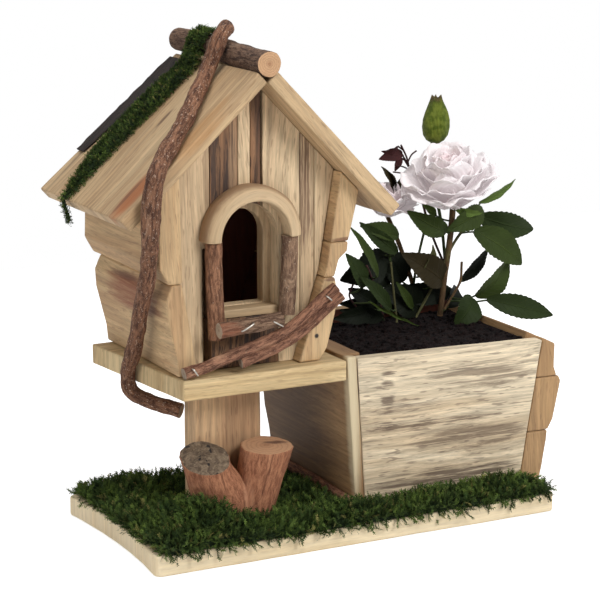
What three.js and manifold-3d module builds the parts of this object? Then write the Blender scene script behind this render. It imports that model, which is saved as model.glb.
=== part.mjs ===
// A rustic birdhouse planter: a small timber nesting box on a post beside a rose planter, on one base board.
// Millimetres, +Z up. The front of the base faces -Y and the planter stands on the +X side.
import * as THREE from "three";
import { mergeVertices } from "three/addons/utils/BufferGeometryUtils.js";
import Module from "manifold-3d";

const wasm = await Module();
wasm.setup();

// Clearance between pieces that touch, and the overrun of every cutting shape
const fit = 0.3;
const overrun = 15;

// Base board
const baseWidth = 260;
const baseDepth = 130;
const baseThick = 11.5;
const baseCorner = 5;
const baseDip = 4;

// Deck board that carries the house; its front is in line with the planter's front
const frontSetback = 24;
const deckLeft = 28.5;
const deckSkew = 11;
const deckThick = 11.7;
const deckTop = 102;

// Post between the base and the deck
const postLeft = 46.5;
const postWidth = 41;
const postFront = 48;
const postDepth = 16;

// House walls of stacked waney boards
const deckLedge = 7;
const wallThick = 11.5;
const leftFoot = 29.1;
const houseFootWidth = 86.6;
const wallKneeRise = 51;
const leftFlares = [0.17, 0.02];
const rightFlares = [0.33, 0.17];
const waneyBulge = 5;
const leftSeamRise = 53;
const rightSeamRise = 48;
const rightUpperSeamRise = 68;
const upperWallOverhang = 10;
const lowerWallOverhang = 4;

// Roof boards and their slopes, in degrees
const ridgeX = 78.6;
const ridgeRise = 163.2;
const leftPitch = 42.5;
const rightPitch = 46;
const roofLength = 112;
const roofThick = 8.4;
const roofOverhang = 12;
const frontBoardWidth = 81;
const roofBackSkew = 11;
const roofBackInset = 2.5;
const barkStripThick = 1;
const barkStripWidth = 20;

// Gable boards, from left to right, and the panel behind them
const slabInset = 9;
const slabThick = 10;
const panelThick = 8;
const cornerSlabRight = 47.7;
const slabShoulderRise = 70;
const slabSeams = [52.8, 70.2, 77.9, 84.3, 108.9, 118.2];
const grooveWidth = 1.2;

// Entrance: opening, arch, sill and apron
const doorCentre = 76;
const doorHalfWidth = 19;
const panelDoorHalfWidth = 14.5;
const doorSpringRise = 74.5;
const sillRise = 29;
const sillThick = 5;
const archOuter = 30.6;
const archInner = 21.5;
const archDepth = 11.5;
const archFace = 1.8;
const archRounding = 7;

// Twigs and fixings round the entrance
const jambRadius = 4.8;
const jambLean = 2;
const perchRadius = 4.3;
const strandRadius = 3.4;
const stapleWire = 0.7;

// Ridge log and the branch that climbs the house
const ridgeLogRadius = 7;
const branchRadius = 4.7;

// Planter box
const planterGap = 102.6;
const planterLeftWall = 13;
const planterRightWall = 20;
const planterFrontThick = 8;
const planterInnerShare = 0.44; // of the base's width
const planterHeight = 92;
const planterLeftFlare = 0.067;
const planterRightFlare = 0.17;
const frontLap = 6.5;
const planterFrontDrop = 4.2;
const planterBackRise = 4;
const planterBackBulge = 9;
const planterFloorThick = 8;
const soilDepthBelowRim = 4.5;
const rightSeamShares = [0.34, 0.7];

// Stump, the knotty limb that forks from it and the twig at the planter's foot; tilts are in degrees
const stumpX = 72;
const stumpY = 31;
const stumpLean = 11;
const stumpFootRadius = 11.5;
const stumpTopRadius = 14.5;
const stumpHeight = 44.5;
const stumpTilt = 6;
const knotX = 56;
const knotY = 32;
const knotLean = -11.5;
const knotFootRadius = 12;
const knotTopRadius = 14;
const knotHeight = 42;
const knotTilt = 26;
const stripRadius = 3;

// Moss
const mossThick = 8;
const mossLump = 2.5;
const mossOverhang = 3;
const mossWave = 20;
const mossHang = 14;
const roofMossThick = 5;
const roofMossWidth = 38.5;

// Rose plant
const plantHeight = 142;
const caneRadius = 1.7;
const leftCaneRadius = 1.4;
const stalkRadius = 0.9;
const leafWidth = 13.8;
const leafThick = 1;
const leafArchShare = 0.2;
const bladeShares = [0.12, 0.97];
const bladeFullness = 0.8;
const leafFoldShare = 0.25;
const midribShares = [0.04, 0.2];
const stalkBendShare = 0.6;
const seatShare = 0.4;
const petalThick = 1.2;
const bloomRadius = 31.5;
const bloomHeight = 41;
const rearBloomRadius = 21;
const rearBloomHeight = 28;
const budRadius = 7.4;
const budLength = 29;

// Sizes that follow from the ones above
const deckUnder = deckTop - deckThick;
const wallFront = frontSetback + deckLedge;
const roofFront = wallFront - roofOverhang;
const slabFront = wallFront + slabInset;
const slabBack = slabFront + slabThick;
const panelFront = slabBack + fit;
const panelBack = panelFront + panelThick;
const ridgeZ = deckTop + ridgeRise;
const rightFoot = leftFoot + houseFootWidth;
const roofBack = baseDepth - roofBackInset;
const sillZ = deckTop + sillRise;
const springZ = deckTop + doorSpringRise;
const baseTop = baseThick + fit;
const planterRim = baseTop + planterHeight;
const soilTop = planterRim - soilDepthBelowRim;
const planterBack = baseDepth;
const planterInnerWidth = planterInnerShare * baseWidth;

const part = new THREE.Group();
const bench = new THREE.Group();
part.add(bench);

const finishes = {
  paleWood: [0xd8c69a, 0.75],
  deckWood: [0xd6c28c, 0.75],
  creamWood: [0xe3d2ac, 0.75],
  tanWood: [0xc49a6c, 0.75],
  brownWood: [0x8a6647, 0.8],
  limedWood: [0xd2c4a2, 0.8],
  bark: [0x7a5544, 0.9],
  greyBark: [0x6e6154, 0.9],
  darkBark: [0x2f2825, 0.95],
  terracotta: [0xb07858, 0.85],
  knot: [0x857868, 0.9],
  moss: [0x2f4a20, 1],
  soil: [0x241a1c, 1],
  foam: [0x4f6b45, 1],
  leaf: [0x34502a, 0.6],
  petal: [0xe8d8da, 0.7],
  bud: [0x6f8a45, 0.6],
  steel: [0x9a9a98, 0.35],
};

function addMesh(name, geometry, finish, metalness = 0) {
  const [color, roughness] = finishes[finish];
  const material = new THREE.MeshStandardMaterial({ color, roughness, metalness });
  const mesh = new THREE.Mesh(geometry, material);
  mesh.name = name;
  bench.add(mesh);
  return mesh;
}

// Solid geometry helpers

// The geometry as shared points and faces only
function weld(geometry) {
  const bare = geometry.clone();
  bare.deleteAttribute("normal");
  bare.deleteAttribute("uv");
  return mergeVertices(bare, 1e-4);
}

function toSolid(geometry) {
  const merged = weld(geometry);
  const mesh = new wasm.Mesh({
    numProp: 3,
    vertProperties: new Float32Array(merged.attributes.position.array),
    triVerts: new Uint32Array(merged.index.array),
  });
  return new wasm.Manifold(mesh);
}

function toGeometry(solid) {
  const mesh = solid.getMesh();
  const geometry = new THREE.BufferGeometry();
  geometry.setAttribute("position", new THREE.BufferAttribute(mesh.vertProperties, 3));
  geometry.setIndex(new THREE.BufferAttribute(mesh.triVerts, 1));
  geometry.computeVertexNormals();
  return geometry;
}

function cut(geometry, ...cutters) {
  const solid = cutters.reduce((left, cutter) => left.subtract(toSolid(cutter)), toSolid(geometry));
  return toGeometry(solid);
}

function join(...geometries) {
  const solid = geometries.slice(1).reduce((sum, next) => sum.add(toSolid(next)), toSolid(geometries[0]));
  return toGeometry(solid);
}

const vec = (x, y, z) => new THREE.Vector3(x, y, z);
const mix = (a, b, share) => a + (b - a) * share;
const axisX = vec(1, 0, 0);
const axisY = vec(0, 1, 0);
const axisZ = vec(0, 0, 1);

function shapeOf(points) {
  return new THREE.Shape(points.map(([x, y]) => new THREE.Vector2(x, y)));
}

// An outline in X and Z, pushed from yFront to yBack
function frontBoard(outline, yFront, yBack) {
  const shape = outline instanceof THREE.Shape ? outline : shapeOf(outline);
  const geometry = new THREE.ExtrudeGeometry(shape, {
    depth: yBack - yFront,
    bevelEnabled: false,
    curveSegments: 10,
  });
  geometry.applyMatrix4(new THREE.Matrix4().makeBasis(axisX, axisZ, axisY.clone().negate()));
  return geometry.translate(0, yBack, 0);
}

// An outline in X and Y, pushed from zLow to zHigh
function flatBoard(outline, zLow, zHigh) {
  const shape = outline instanceof THREE.Shape ? outline : shapeOf(outline);
  const geometry = new THREE.ExtrudeGeometry(shape, {
    depth: zHigh - zLow,
    bevelEnabled: false,
    curveSegments: 6,
  });
  return geometry.translate(0, 0, zLow);
}

// An outline in Y and Z, pushed from xLeft to xRight
function sideBoard(outline, xLeft, xRight) {
  const geometry = new THREE.ExtrudeGeometry(shapeOf(outline), {
    depth: xRight - xLeft,
    bevelEnabled: false,
  });
  geometry.applyMatrix4(new THREE.Matrix4().makeBasis(axisY, axisZ, axisX));
  return geometry.translate(xLeft, 0, 0);
}

function block(x0, x1, y0, y1, z0, z1) {
  const geometry = new THREE.BoxGeometry(x1 - x0, y1 - y0, z1 - z0);
  return geometry.translate((x0 + x1) / 2, (y0 + y1) / 2, (z0 + z1) / 2);
}

// A closed sheet from a grid of points; at(u, v, top) gives a point of its upper or lower face
function sheet(columns, rows, at) {
  const positions = [];
  const index = [];
  const layer = (columns + 1) * (rows + 1);
  for (const top of [0, 1]) {
    for (let j = 0; j <= rows; j += 1) {
      for (let i = 0; i <= columns; i += 1) {
        positions.push(...at(i / columns, j / rows, top).toArray());
      }
    }
  }
  const id = (i, j, top) => top * layer + j * (columns + 1) + i;
  const quad = (a, b, c, d) => index.push(a, b, c, a, c, d);
  for (let j = 0; j < rows; j += 1) {
    for (let i = 0; i < columns; i += 1) {
      quad(id(i, j, 1), id(i + 1, j, 1), id(i + 1, j + 1, 1), id(i, j + 1, 1));
      quad(id(i, j, 0), id(i, j + 1, 0), id(i + 1, j + 1, 0), id(i + 1, j, 0));
    }
  }
  for (let i = 0; i < columns; i += 1) {
    quad(id(i, 0, 0), id(i + 1, 0, 0), id(i + 1, 0, 1), id(i, 0, 1));
    quad(id(i, rows, 1), id(i + 1, rows, 1), id(i + 1, rows, 0), id(i, rows, 0));
  }
  for (let j = 0; j < rows; j += 1) {
    quad(id(0, j, 1), id(0, j + 1, 1), id(0, j + 1, 0), id(0, j, 0));
    quad(id(columns, j, 0), id(columns, j + 1, 0), id(columns, j + 1, 1), id(columns, j, 1));
  }
  const geometry = new THREE.BufferGeometry();
  geometry.setAttribute("position", new THREE.Float32BufferAttribute(positions, 3));
  geometry.setIndex(index);
  return faceOut(geometry);
}

// Turns a closed shape's faces outwards if they point inwards
function faceOut(geometry) {
  const position = geometry.attributes.position;
  const index = geometry.index.array;
  const [a, b, c] = [vec(0, 0, 0), vec(0, 0, 0), vec(0, 0, 0)];
  let volume = 0;
  for (let i = 0; i < index.length; i += 3) {
    a.fromBufferAttribute(position, index[i]);
    b.fromBufferAttribute(position, index[i + 1]);
    c.fromBufferAttribute(position, index[i + 2]);
    volume += a.dot(b.cross(c));
  }
  if (volume < 0) {
    for (let i = 0; i < index.length; i += 3) {
      [index[i + 1], index[i + 2]] = [index[i + 2], index[i + 1]];
    }
  }
  geometry.computeVertexNormals();
  return geometry;
}

// A round rod that follows points
function rod(points, radius, steps, sides) {
  const ring = [];
  for (let i = 0; i < sides; i += 1) {
    const turn = (i / sides) * Math.PI * 2;
    ring.push([Math.cos(turn) * radius, Math.sin(turn) * radius]);
  }
  return new THREE.ExtrudeGeometry(shapeOf(ring), {
    steps,
    extrudePath: new THREE.CatmullRomCurve3(points),
    bevelEnabled: false,
  });
}

// House outline: each roof slope is a line in X and Z, and each side wall two lines that meet at its knee

const kneeZ = deckTop + wallKneeRise;
const flareAt = (z, [lower, upper]) =>
  lower * (Math.min(z, kneeZ) - deckTop) + upper * Math.max(z - kneeZ, 0);
const leftInner = (z) => leftFoot + wallThick - flareAt(z, leftFlares);
const rightInner = (z) => rightFoot - wallThick + flareAt(z, rightFlares);
const radians = THREE.MathUtils.degToRad;

// Half planes that hold the inside of the house: a point on each line and its inward normal
function halfPlane(x, z, directionX, directionZ) {
  const length = Math.hypot(directionX, directionZ);
  const normal = [-directionZ / length, directionX / length];
  return { x: x + normal[0] * fit, z: z + normal[1] * fit, normal };
}

const roofPlanes = [
  halfPlane(ridgeX, ridgeZ, -Math.cos(radians(leftPitch)), -Math.sin(radians(leftPitch))),
  halfPlane(ridgeX, ridgeZ, -Math.cos(radians(rightPitch)), Math.sin(radians(rightPitch))),
];
const wallPlanes = [0, 1].flatMap((i) => [
  halfPlane(leftInner(kneeZ), kneeZ, leftFlares[i], -1),
  halfPlane(rightInner(kneeZ), kneeZ, rightFlares[i], 1),
]);

// Cuts an outline back to the inner side of each half plane
function trim(outline, planes) {
  return planes.reduce((points, plane) => {
    const depth = ([x, z]) => (x - plane.x) * plane.normal[0] + (z - plane.z) * plane.normal[1];
    return points.flatMap((point, i) => {
      const next = points[(i + 1) % points.length];
      const [here, there] = [depth(point), depth(next)];
      const kept = here >= 0 ? [point] : [];
      if (here >= 0 !== there >= 0) {
        const share = here / (here - there);
        kept.push([mix(point[0], next[0], share), mix(point[1], next[1], share)]);
      }
      return kept;
    });
  }, outline);
}

// Base board: rounded corners and a shallow dip sawn into its left end

const baseShape = new THREE.Shape();
baseShape.moveTo(baseCorner, 0);
baseShape.lineTo(baseWidth - baseCorner, 0);
baseShape.quadraticCurveTo(baseWidth, 0, baseWidth, baseCorner);
baseShape.lineTo(baseWidth, baseDepth - baseCorner);
baseShape.quadraticCurveTo(baseWidth, baseDepth, baseWidth - baseCorner, baseDepth);
baseShape.lineTo(baseCorner, baseDepth);
baseShape.quadraticCurveTo(0, baseDepth, 0, baseDepth - baseCorner);
baseShape.quadraticCurveTo(baseDip * 2, baseDepth / 2, 0, baseCorner);
baseShape.quadraticCurveTo(0, 0, baseCorner, 0);
addMesh("base_board", flatBoard(baseShape, 0, baseThick), "creamWood");

// Planter box: leaning side walls, lapped by the front board

const planterLeft = (z) => deckLeft + planterGap + (planterRim - z) * planterLeftFlare;
const planterLeftInner = (z) => planterLeft(z) + planterLeftWall;
const planterRightInner = (z) =>
  planterLeftInner(planterRim) + planterInnerWidth - (planterRim - z) * planterRightFlare;
const planterInside = (low, high, back) => [
  [planterLeftInner(low) + back, low],
  [planterRightInner(low) - back, low],
  [planterRightInner(high) - back, high],
  [planterLeftInner(high) + back, high],
];
const planterFrontBack = frontSetback + planterFrontThick;
const planterBackFront = planterBack - planterFrontThick;

// The front board's top falls to the right
const frontDropShare = 0.35;
const frontTopLeft = planterRim - frontDropShare * planterFrontDrop;
const frontTopRight = planterRim - planterFrontDrop;
const planterFrontOutline = [
  ...planterInside(baseTop, planterRim, -frontLap).slice(0, 2),
  [planterRightInner(frontTopRight) + frontLap, frontTopRight],
  [planterLeftInner(frontTopLeft) - frontLap, frontTopLeft],
];
addMesh("planter_front", frontBoard(planterFrontOutline, frontSetback, planterFrontBack), "limedWood");
const frontRebate = frontBoard(
  planterInside(baseTop - overrun, planterRim + overrun, -frontLap - fit),
  frontSetback - overrun,
  planterFrontBack + fit,
);

const planterLeftOutline = [
  [planterLeft(baseTop), baseTop],
  [planterLeftInner(baseTop), baseTop],
  [planterLeftInner(planterRim), planterRim],
  [planterLeft(planterRim), planterRim],
];
const planterLeftBoard = frontBoard(planterLeftOutline, frontSetback, planterBack + planterBackBulge);

// The left wall's waney back edge: shares of the wall's height and of the bulge
const backEdgeShares = [[0, 0.1], [0.25, 0.4], [0.4, 0.9], [0.6, 1], [0.8, 0.75], [0.95, 0.1], [1, 0]];
const backEdge = backEdgeShares.map(([up, out]) => [
  planterBack + out * planterBackBulge,
  mix(baseTop, planterRim, up),
]);
const backWaste = sideBoard(
  [
    [planterBack, baseTop - overrun],
    ...backEdge,
    [planterBack, planterRim + overrun],
    [planterBack + planterBackBulge + overrun, planterRim + overrun],
    [planterBack + planterBackBulge + overrun, baseTop - overrun],
  ],
  planterLeft(planterRim) - overrun,
  planterLeftInner(baseTop) + overrun,
);
addMesh("planter_left_wall", cut(planterLeftBoard, frontRebate, backWaste), "tanWood");

// Each waney board of a leaning wall bulges outwards by shares of the bulge along its height
const planterWaney = [
  { name: "lower", shares: [[0, 0.2], [0.3, 0.35], [0.8, 0.35], [1, 0.25]] },
  { name: "middle", shares: [[0, 0.3], [0.18, 0.8], [0.9, 1], [1, 0.6]] },
  { name: "upper", shares: [[0, 0.3], [0.2, -0.3], [0.73, -0.7]] },
];
planterWaney.forEach(({ name, shares }, i) => {
  const low = i === 0 ? baseTop : mix(baseTop, planterRim, rightSeamShares[i - 1]) + fit;
  const high = i === 2 ? planterRim : mix(baseTop, planterRim, rightSeamShares[i]);
  const outer = shares.map(([rise, bulge]) => {
    const z = mix(low, high, rise);
    return [planterRightInner(z) + planterRightWall + bulge * waneyBulge, z];
  });
  const outline = [[planterRightInner(high), high], [planterRightInner(low), low], ...outer];
  const board = frontBoard(outline, frontSetback, planterBack);
  addMesh("planter_right_wall_" + name, cut(board, frontRebate), "tanWood");
});

const planterBackOutline = planterInside(baseTop, planterRim + planterBackRise, fit);
addMesh("planter_back", frontBoard(planterBackOutline, planterBackFront, planterBack), "paleWood");
const floorTop = baseTop + planterFloorThick;
const planterFloor = planterInside(baseTop, floorTop, fit);
addMesh(
  "planter_floor",
  frontBoard(planterFloor, planterFrontBack + fit, planterBackFront - fit),
  "paleWood",
);
const foamTop = soilTop - mossThick;
const foamOutline = planterInside(floorTop + fit, foamTop, fit);
addMesh(
  "planter_foam",
  frontBoard(foamOutline, planterFrontBack + fit, planterBackFront - fit),
  "foam",
);
const soilOutline = planterInside(foamTop + fit, soilTop, fit);
addMesh("planter_soil", frontBoard(soilOutline, planterFrontBack + fit, planterBackFront - fit), "soil");

// Deck and post

const deckRight = planterLeft(deckTop) - fit;
const deckOutline = [
  [deckLeft, frontSetback],
  [deckRight, frontSetback],
  [deckRight, baseDepth],
  [deckLeft - deckSkew, baseDepth],
];
addMesh("deck_board", flatBoard(deckOutline, deckUnder, deckTop), "deckWood");
const postRight = postLeft + postWidth;
const postBack = postFront + postDepth;
addMesh("post", block(postLeft, postRight, postFront, postBack, baseTop, deckUnder - fit), "tanWood");

// Side walls of the house

function wallBoard(inner, side, low, high, shares, back) {
  const outer = shares.map(([rise, bulge]) => {
    const z = mix(low, high, rise);
    return [inner(z) + side * (wallThick + bulge * waneyBulge), z];
  });
  const knee = low < kneeZ && kneeZ < high ? [[inner(kneeZ), kneeZ]] : [];
  const outline = [[inner(high), high], ...knee, [inner(low), low], ...outer];
  return frontBoard(trim(outline, roofPlanes), wallFront, back);
}

const wallBack = baseDepth;
const wallFootZ = deckTop + fit;
const houseWalls = [
  {
    name: "left_wall_lower",
    side: -1,
    low: wallFootZ,
    high: deckTop + leftSeamRise,
    shares: [[0, 0], [0.19, -0.14], [0.35, 0], [0.65, 0.24], [0.84, 0], [1, -1]],
    overhang: lowerWallOverhang,
  },
  {
    name: "left_wall_upper",
    side: -1,
    low: deckTop + leftSeamRise + fit,
    high: ridgeZ,
    shares: [[0, -0.64], [0.09, 0.5], [0.52, 0], [1, 0]],
    overhang: upperWallOverhang,
  },
  {
    name: "right_wall_lower",
    side: 1,
    low: wallFootZ,
    high: deckTop + rightSeamRise,
    shares: [[0, 0.3], [0.15, 0.75], [0.56, 0.5], [0.78, 0.2], [1, -0.9]],
  },
  {
    name: "right_wall_middle",
    side: 1,
    low: deckTop + rightSeamRise + fit,
    high: deckTop + rightUpperSeamRise,
    shares: [[0, -1], [0.5, -0.85], [0.72, 0.1], [1, 0]],
  },
  {
    name: "right_wall_upper",
    side: 1,
    low: deckTop + rightUpperSeamRise + fit,
    high: ridgeZ,
    shares: [[0, 0], [0.24, 0.35], [1, 0.35]],
  },
];
for (const { name, side, low, high, shares, overhang = 0 } of houseWalls) {
  const inner = side < 0 ? leftInner : rightInner;
  const board = wallBoard(inner, side, low, high, shares, wallBack + overhang);
  addMesh(name, board, "paleWood");
}

// Gable boards, panel and back, all trimmed to the walls and the roof

const insidePlanes = [...roofPlanes, ...wallPlanes];
const houseFull = [
  [leftFoot, wallFootZ],
  [rightFoot + waneyBulge * 4, wallFootZ],
  [rightFoot + waneyBulge * 4, ridgeZ],
  [leftFoot - waneyBulge * 4, ridgeZ],
  [leftFoot - waneyBulge * 4, wallFootZ],
];

// An arch-topped opening; low is its foot
function doorShape(halfWidth, low) {
  const shape = new THREE.Shape();
  shape.moveTo(doorCentre - halfWidth, low);
  shape.lineTo(doorCentre + halfWidth, low);
  shape.lineTo(doorCentre + halfWidth, springZ);
  shape.absarc(doorCentre, springZ, halfWidth, 0, Math.PI, false);
  return shape;
}

const doorCutter = frontBoard(doorShape(doorHalfWidth, sillZ), slabFront - overrun, slabBack + overrun);
const panelCutter = frontBoard(
  doorShape(panelDoorHalfWidth, sillZ + sillThick),
  slabFront - overrun,
  panelBack + overrun,
);
const apronRight = doorCentre + doorHalfWidth;
const apronOutline = [
  [slabSeams[0], wallFootZ],
  [apronRight, wallFootZ],
  [apronRight, sillZ - fit],
  [slabSeams[0], sillZ - fit],
];
const apronCutter = block(
  slabSeams[0] - overrun,
  apronRight + fit,
  slabFront - overrun,
  slabBack + overrun,
  deckTop - overrun,
  sillZ,
);

const shoulderZ = deckTop + slabShoulderRise;
const cornerSlab = [
  [leftFoot, wallFootZ],
  [cornerSlabRight, wallFootZ],
  [cornerSlabRight, shoulderZ],
  [slabSeams[0] - fit, shoulderZ],
  [slabSeams[0] - fit, ridgeZ],
  [leftFoot - waneyBulge * 4, ridgeZ],
  [leftFoot - waneyBulge * 4, wallFootZ],
];
addMesh("gable_board_1", frontBoard(trim(cornerSlab, insidePlanes), slabFront, slabBack), "paleWood");
const seamWoods = ["brownWood", "paleWood", "brownWood", "paleWood", "brownWood", "paleWood"];
slabSeams.forEach((seam, i) => {
  const left = i === 3 ? seam + grooveWidth : seam;
  const right = i < slabSeams.length - 1 ? slabSeams[i + 1] - fit : rightFoot + waneyBulge * 4;
  const outline = [
    [left, wallFootZ],
    [right, wallFootZ],
    [right, ridgeZ],
    [left, ridgeZ],
  ];
  const board = frontBoard(trim(outline, insidePlanes), slabFront, slabBack);
  const opened = left < apronRight ? cut(board, doorCutter, apronCutter) : board;
  addMesh("gable_board_" + (i + 2), opened, seamWoods[i]);
});
addMesh("door_apron", frontBoard(apronOutline, slabFront, slabBack), "brownWood");
addMesh(
  "front_panel",
  cut(frontBoard(trim(houseFull, insidePlanes), panelFront, panelBack), panelCutter),
  "tanWood",
);
addMesh(
  "back_panel",
  frontBoard(trim(houseFull, insidePlanes), wallBack - slabThick, wallBack),
  "paleWood",
);

// Door sill, arch and the twigs beside the door

const sillOutline = [
  [doorCentre - doorHalfWidth + fit, sillZ],
  [doorCentre + doorHalfWidth - fit, sillZ],
  [doorCentre + doorHalfWidth - fit, sillZ + sillThick - fit],
  [doorCentre - doorHalfWidth + fit, sillZ + sillThick - fit],
];
addMesh("door_sill", frontBoard(sillOutline, slabFront - stapleWire, slabBack - fit), "paleWood");

const archShape = new THREE.Shape();
archShape.absarc(doorCentre, springZ, archOuter, 0, Math.PI, false);
archShape.absarc(doorCentre, springZ, archInner, Math.PI, 0, true);
const archBack = slabFront - fit;
const archFront = archBack - archDepth;
const archProfile = [
  [archInner + archFace, archFront - overrun],
  [archOuter + overrun, archFront - overrun],
  [archOuter + overrun, archFront + archRounding],
];
for (let i = 0; i <= 6; i += 1) {
  const turn = (i / 6) * (Math.PI / 2);
  archProfile.push([
    mix(archInner + archFace, archOuter, Math.cos(turn)),
    archFront + archRounding * (1 - Math.sin(turn)),
  ]);
}
const archPoints = [...archProfile, archProfile[0]].map(([r, y]) => new THREE.Vector2(r, y));
const archCutter = faceOut(weld(new THREE.LatheGeometry(archPoints, 48)));
archCutter.translate(doorCentre, 0, springZ);
addMesh("door_arch", cut(frontBoard(archShape, archFront, archBack), archCutter), "paleWood");

const jambY = slabFront - jambRadius - fit;
const jambTop = springZ - fit;
function jambTwig(side, foot) {
  const x = doorCentre + side * (doorHalfWidth + jambRadius);
  const points = [
    vec(x, jambY, jambTop),
    vec(x - side * jambLean * 0.2, jambY, mix(foot, jambTop, 0.6)),
    vec(x - side * jambLean, jambY, foot),
  ];
  return rod(points, jambRadius, 6, 10);
}
addMesh("left_jamb_twig", jambTwig(-1, sillZ - sillThick * 2), "bark");
addMesh("right_jamb_twig", jambTwig(1, sillZ), "bark");

// Perch twigs across the front: the upper one nearly straight, the lower one of two strands bent upwards

const perchY = jambY - jambRadius - perchRadius - fit;
const spotOnFront = ([across, up]) =>
  vec(mix(leftFoot, rightFoot, across), perchY, deckTop + up * sillRise);
const upperPerchShares = [[0.25, 0.9], [0.47, 0.93], [0.7, 0.99]];
const upperPerch = upperPerchShares.map(spotOnFront);
const strandShares = [
  [0, 0.13],
  [0.184, 0.243],
  [0.326, 0.37],
  [0.47, 0.49],
  [0.615, 0.61],
  [0.76, 0.79],
  [0.871, 1],
  [0.981, 1.25],
  [1.1, 1.5],
];
const strand = new THREE.CatmullRomCurve3(strandShares.map(spotOnFront));
const strandCutter = rod(strand.points, strandRadius + fit, 18, 8);
addMesh("upper_perch_twig", cut(rod(upperPerch, perchRadius, 8, 9), strandCutter), "greyBark");
addMesh("lower_perch_strand_1", rod(strand.points, strandRadius, 18, 8), "bark");

// A point beside a curve that lies in the front's plane
function besideFront(curve, share, distance) {
  const tangent = curve.getTangent(share);
  return curve.getPoint(share).add(vec(tangent.z, 0, -tangent.x).multiplyScalar(distance));
}
const secondStrandShares = [0.3, 0.45, 0.6, 0.75, 0.9, 1];
const strandStepShare = 1.75;
const secondStrand = secondStrandShares.map((share) =>
  besideFront(strand, share, strandRadius * strandStepShare),
);
addMesh("lower_perch_strand_2", cut(rod(secondStrand, strandRadius, 14, 8), strandCutter), "bark");

// Wire staples driven into the twigs from the front: each runs from one place on the front to another, as
// shares, and shows down to the twigs' surface
const perchCutter = rod(upperPerch, perchRadius + fit, 8, 9);
const secondCutter = rod(secondStrand, strandRadius + fit, 14, 8);
function staple(ends, radius) {
  const [start, end] = ends.map(spotOnFront);
  const out = axisY.clone().multiplyScalar(-(radius + stapleWire + fit));
  const points = [start, start.clone().add(out), end.clone().add(out), end];
  return cut(rod(points, stapleWire, 10, 5), perchCutter, strandCutter, secondCutter);
}
const stapleShares = [
  [perchRadius, [0.389, 0.88], [0.475, 1.01]],
  [perchRadius, [0.62, 0.99], [0.685, 0.88]],
  [strandRadius, [0.046, 0.24], [0.08, 0.1]],
  [strandRadius, [1.01, 1.37], [1.045, 1.28]],
];
stapleShares.forEach(([radius, ...ends], i) => {
  addMesh("staple_" + (i + 1), staple(ends, radius), "steel", 1);
});

// Roof boards; s runs down the slope from the ridge

function roofFrame(side) {
  const pitch = radians(side < 0 ? leftPitch : rightPitch);
  const slope = vec(side * Math.cos(pitch), 0, -Math.sin(pitch));
  const up = vec(side * Math.sin(pitch), 0, Math.cos(pitch));
  const point = (s, y, lift) =>
    vec(ridgeX, y, ridgeZ).addScaledVector(slope, s).addScaledVector(up, roofThick + lift);
  return { side, slope, up, point };
}
const leftRoof = roofFrame(-1);
const rightRoof = roofFrame(1);

function roofBoard(frame, outline, lift, thick) {
  const shape = shapeOf(outline.map(([s, y]) => [s, frame.side * y]));
  const geometry = new THREE.ExtrudeGeometry(shape, { depth: thick, bevelEnabled: false });
  const across = axisY.clone().multiplyScalar(frame.side);
  geometry.applyMatrix4(new THREE.Matrix4().makeBasis(frame.slope, across, frame.up));
  const start = frame.point(0, 0, lift);
  return geometry.translate(start.x, start.y, start.z);
}
const roofSeam = roofFront + frontBoardWidth;
const frontRoofOutline = [
  [fit, roofFront],
  [roofLength, roofFront],
  [roofLength, roofSeam],
  [fit, roofSeam],
];
const backRoofOutline = [
  [fit, roofSeam + fit],
  [roofLength, roofSeam + fit],
  [roofLength, roofBack + roofBackSkew],
  [fit, roofBack],
];
for (const [word, frame] of [["left", leftRoof], ["right", rightRoof]]) {
  addMesh(`roof_${word}_front`, roofBoard(frame, frontRoofOutline, -roofThick, roofThick), "paleWood");
  addMesh(`roof_${word}_back`, roofBoard(frame, backRoofOutline, -roofThick, roofThick), "paleWood");
}
const roofBackAt = (s) => roofBack + (roofBackSkew * s) / roofLength;
const barkRunShares = [0.04, 0.72];
const [barkHigh, barkLow] = barkRunShares.map((share) => share * roofLength);
const barkOutline = [
  [barkHigh, roofBackAt(barkHigh) - barkStripWidth],
  [barkLow, roofBackAt(barkLow) - barkStripWidth / 2],
  [barkLow, roofBackAt(barkLow)],
  [barkHigh, roofBackAt(barkHigh)],
];
addMesh("roof_bark_strip", roofBoard(leftRoof, barkOutline, fit, barkStripThick), "darkBark");

// Moss: lumpy sheets on the roof seam and on the base

const lumpAt = (x, y) => {
  const [across, deep] = [x / mossWave, y / mossWave];
  return Math.sin(across * 1.7 + deep) * Math.cos(deep * 1.5 - across * 0.6);
};
const edgeDrop = (u, v) => Math.min(1, 8 * Math.min(u, 1 - u, v, 1 - v));

// Ridge log: it lies in the notch between the roof boards' top corners and rolls to the left at its back

const leftCorner = leftRoof.point(fit, 0, 0);
const rightCorner = rightRoof.point(fit, 0, 0);
const cornerSpan = rightCorner.x - leftCorner.x;
const seatReach = ridgeLogRadius + fit;
const seatTurn = Math.acos(cornerSpan / 2 / seatReach);
const ridgeLogShares = [
  [0, 0, 1],
  [0.3, 0, 1.1],
  [0.55, 0.1, 1.27],
  [0.75, 0.3, 1.27],
  [1, 0.75, 1.12],
];
const ridgeLogFront = roofFront - fit * 4;
const ridgeLogBack = roofBack + fit;
const ridgeLogPoints = ridgeLogShares.map(([along, roll, reach]) => {
  const turn = mix(seatTurn, Math.PI / 2, roll);
  return vec(
    leftCorner.x + Math.cos(turn) * seatReach * reach,
    mix(ridgeLogFront, ridgeLogBack, along),
    leftCorner.z + Math.sin(turn) * seatReach * reach,
  );
});
addMesh("ridge_log", rod(ridgeLogPoints, ridgeLogRadius, 10, 12), "greyBark");

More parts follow.
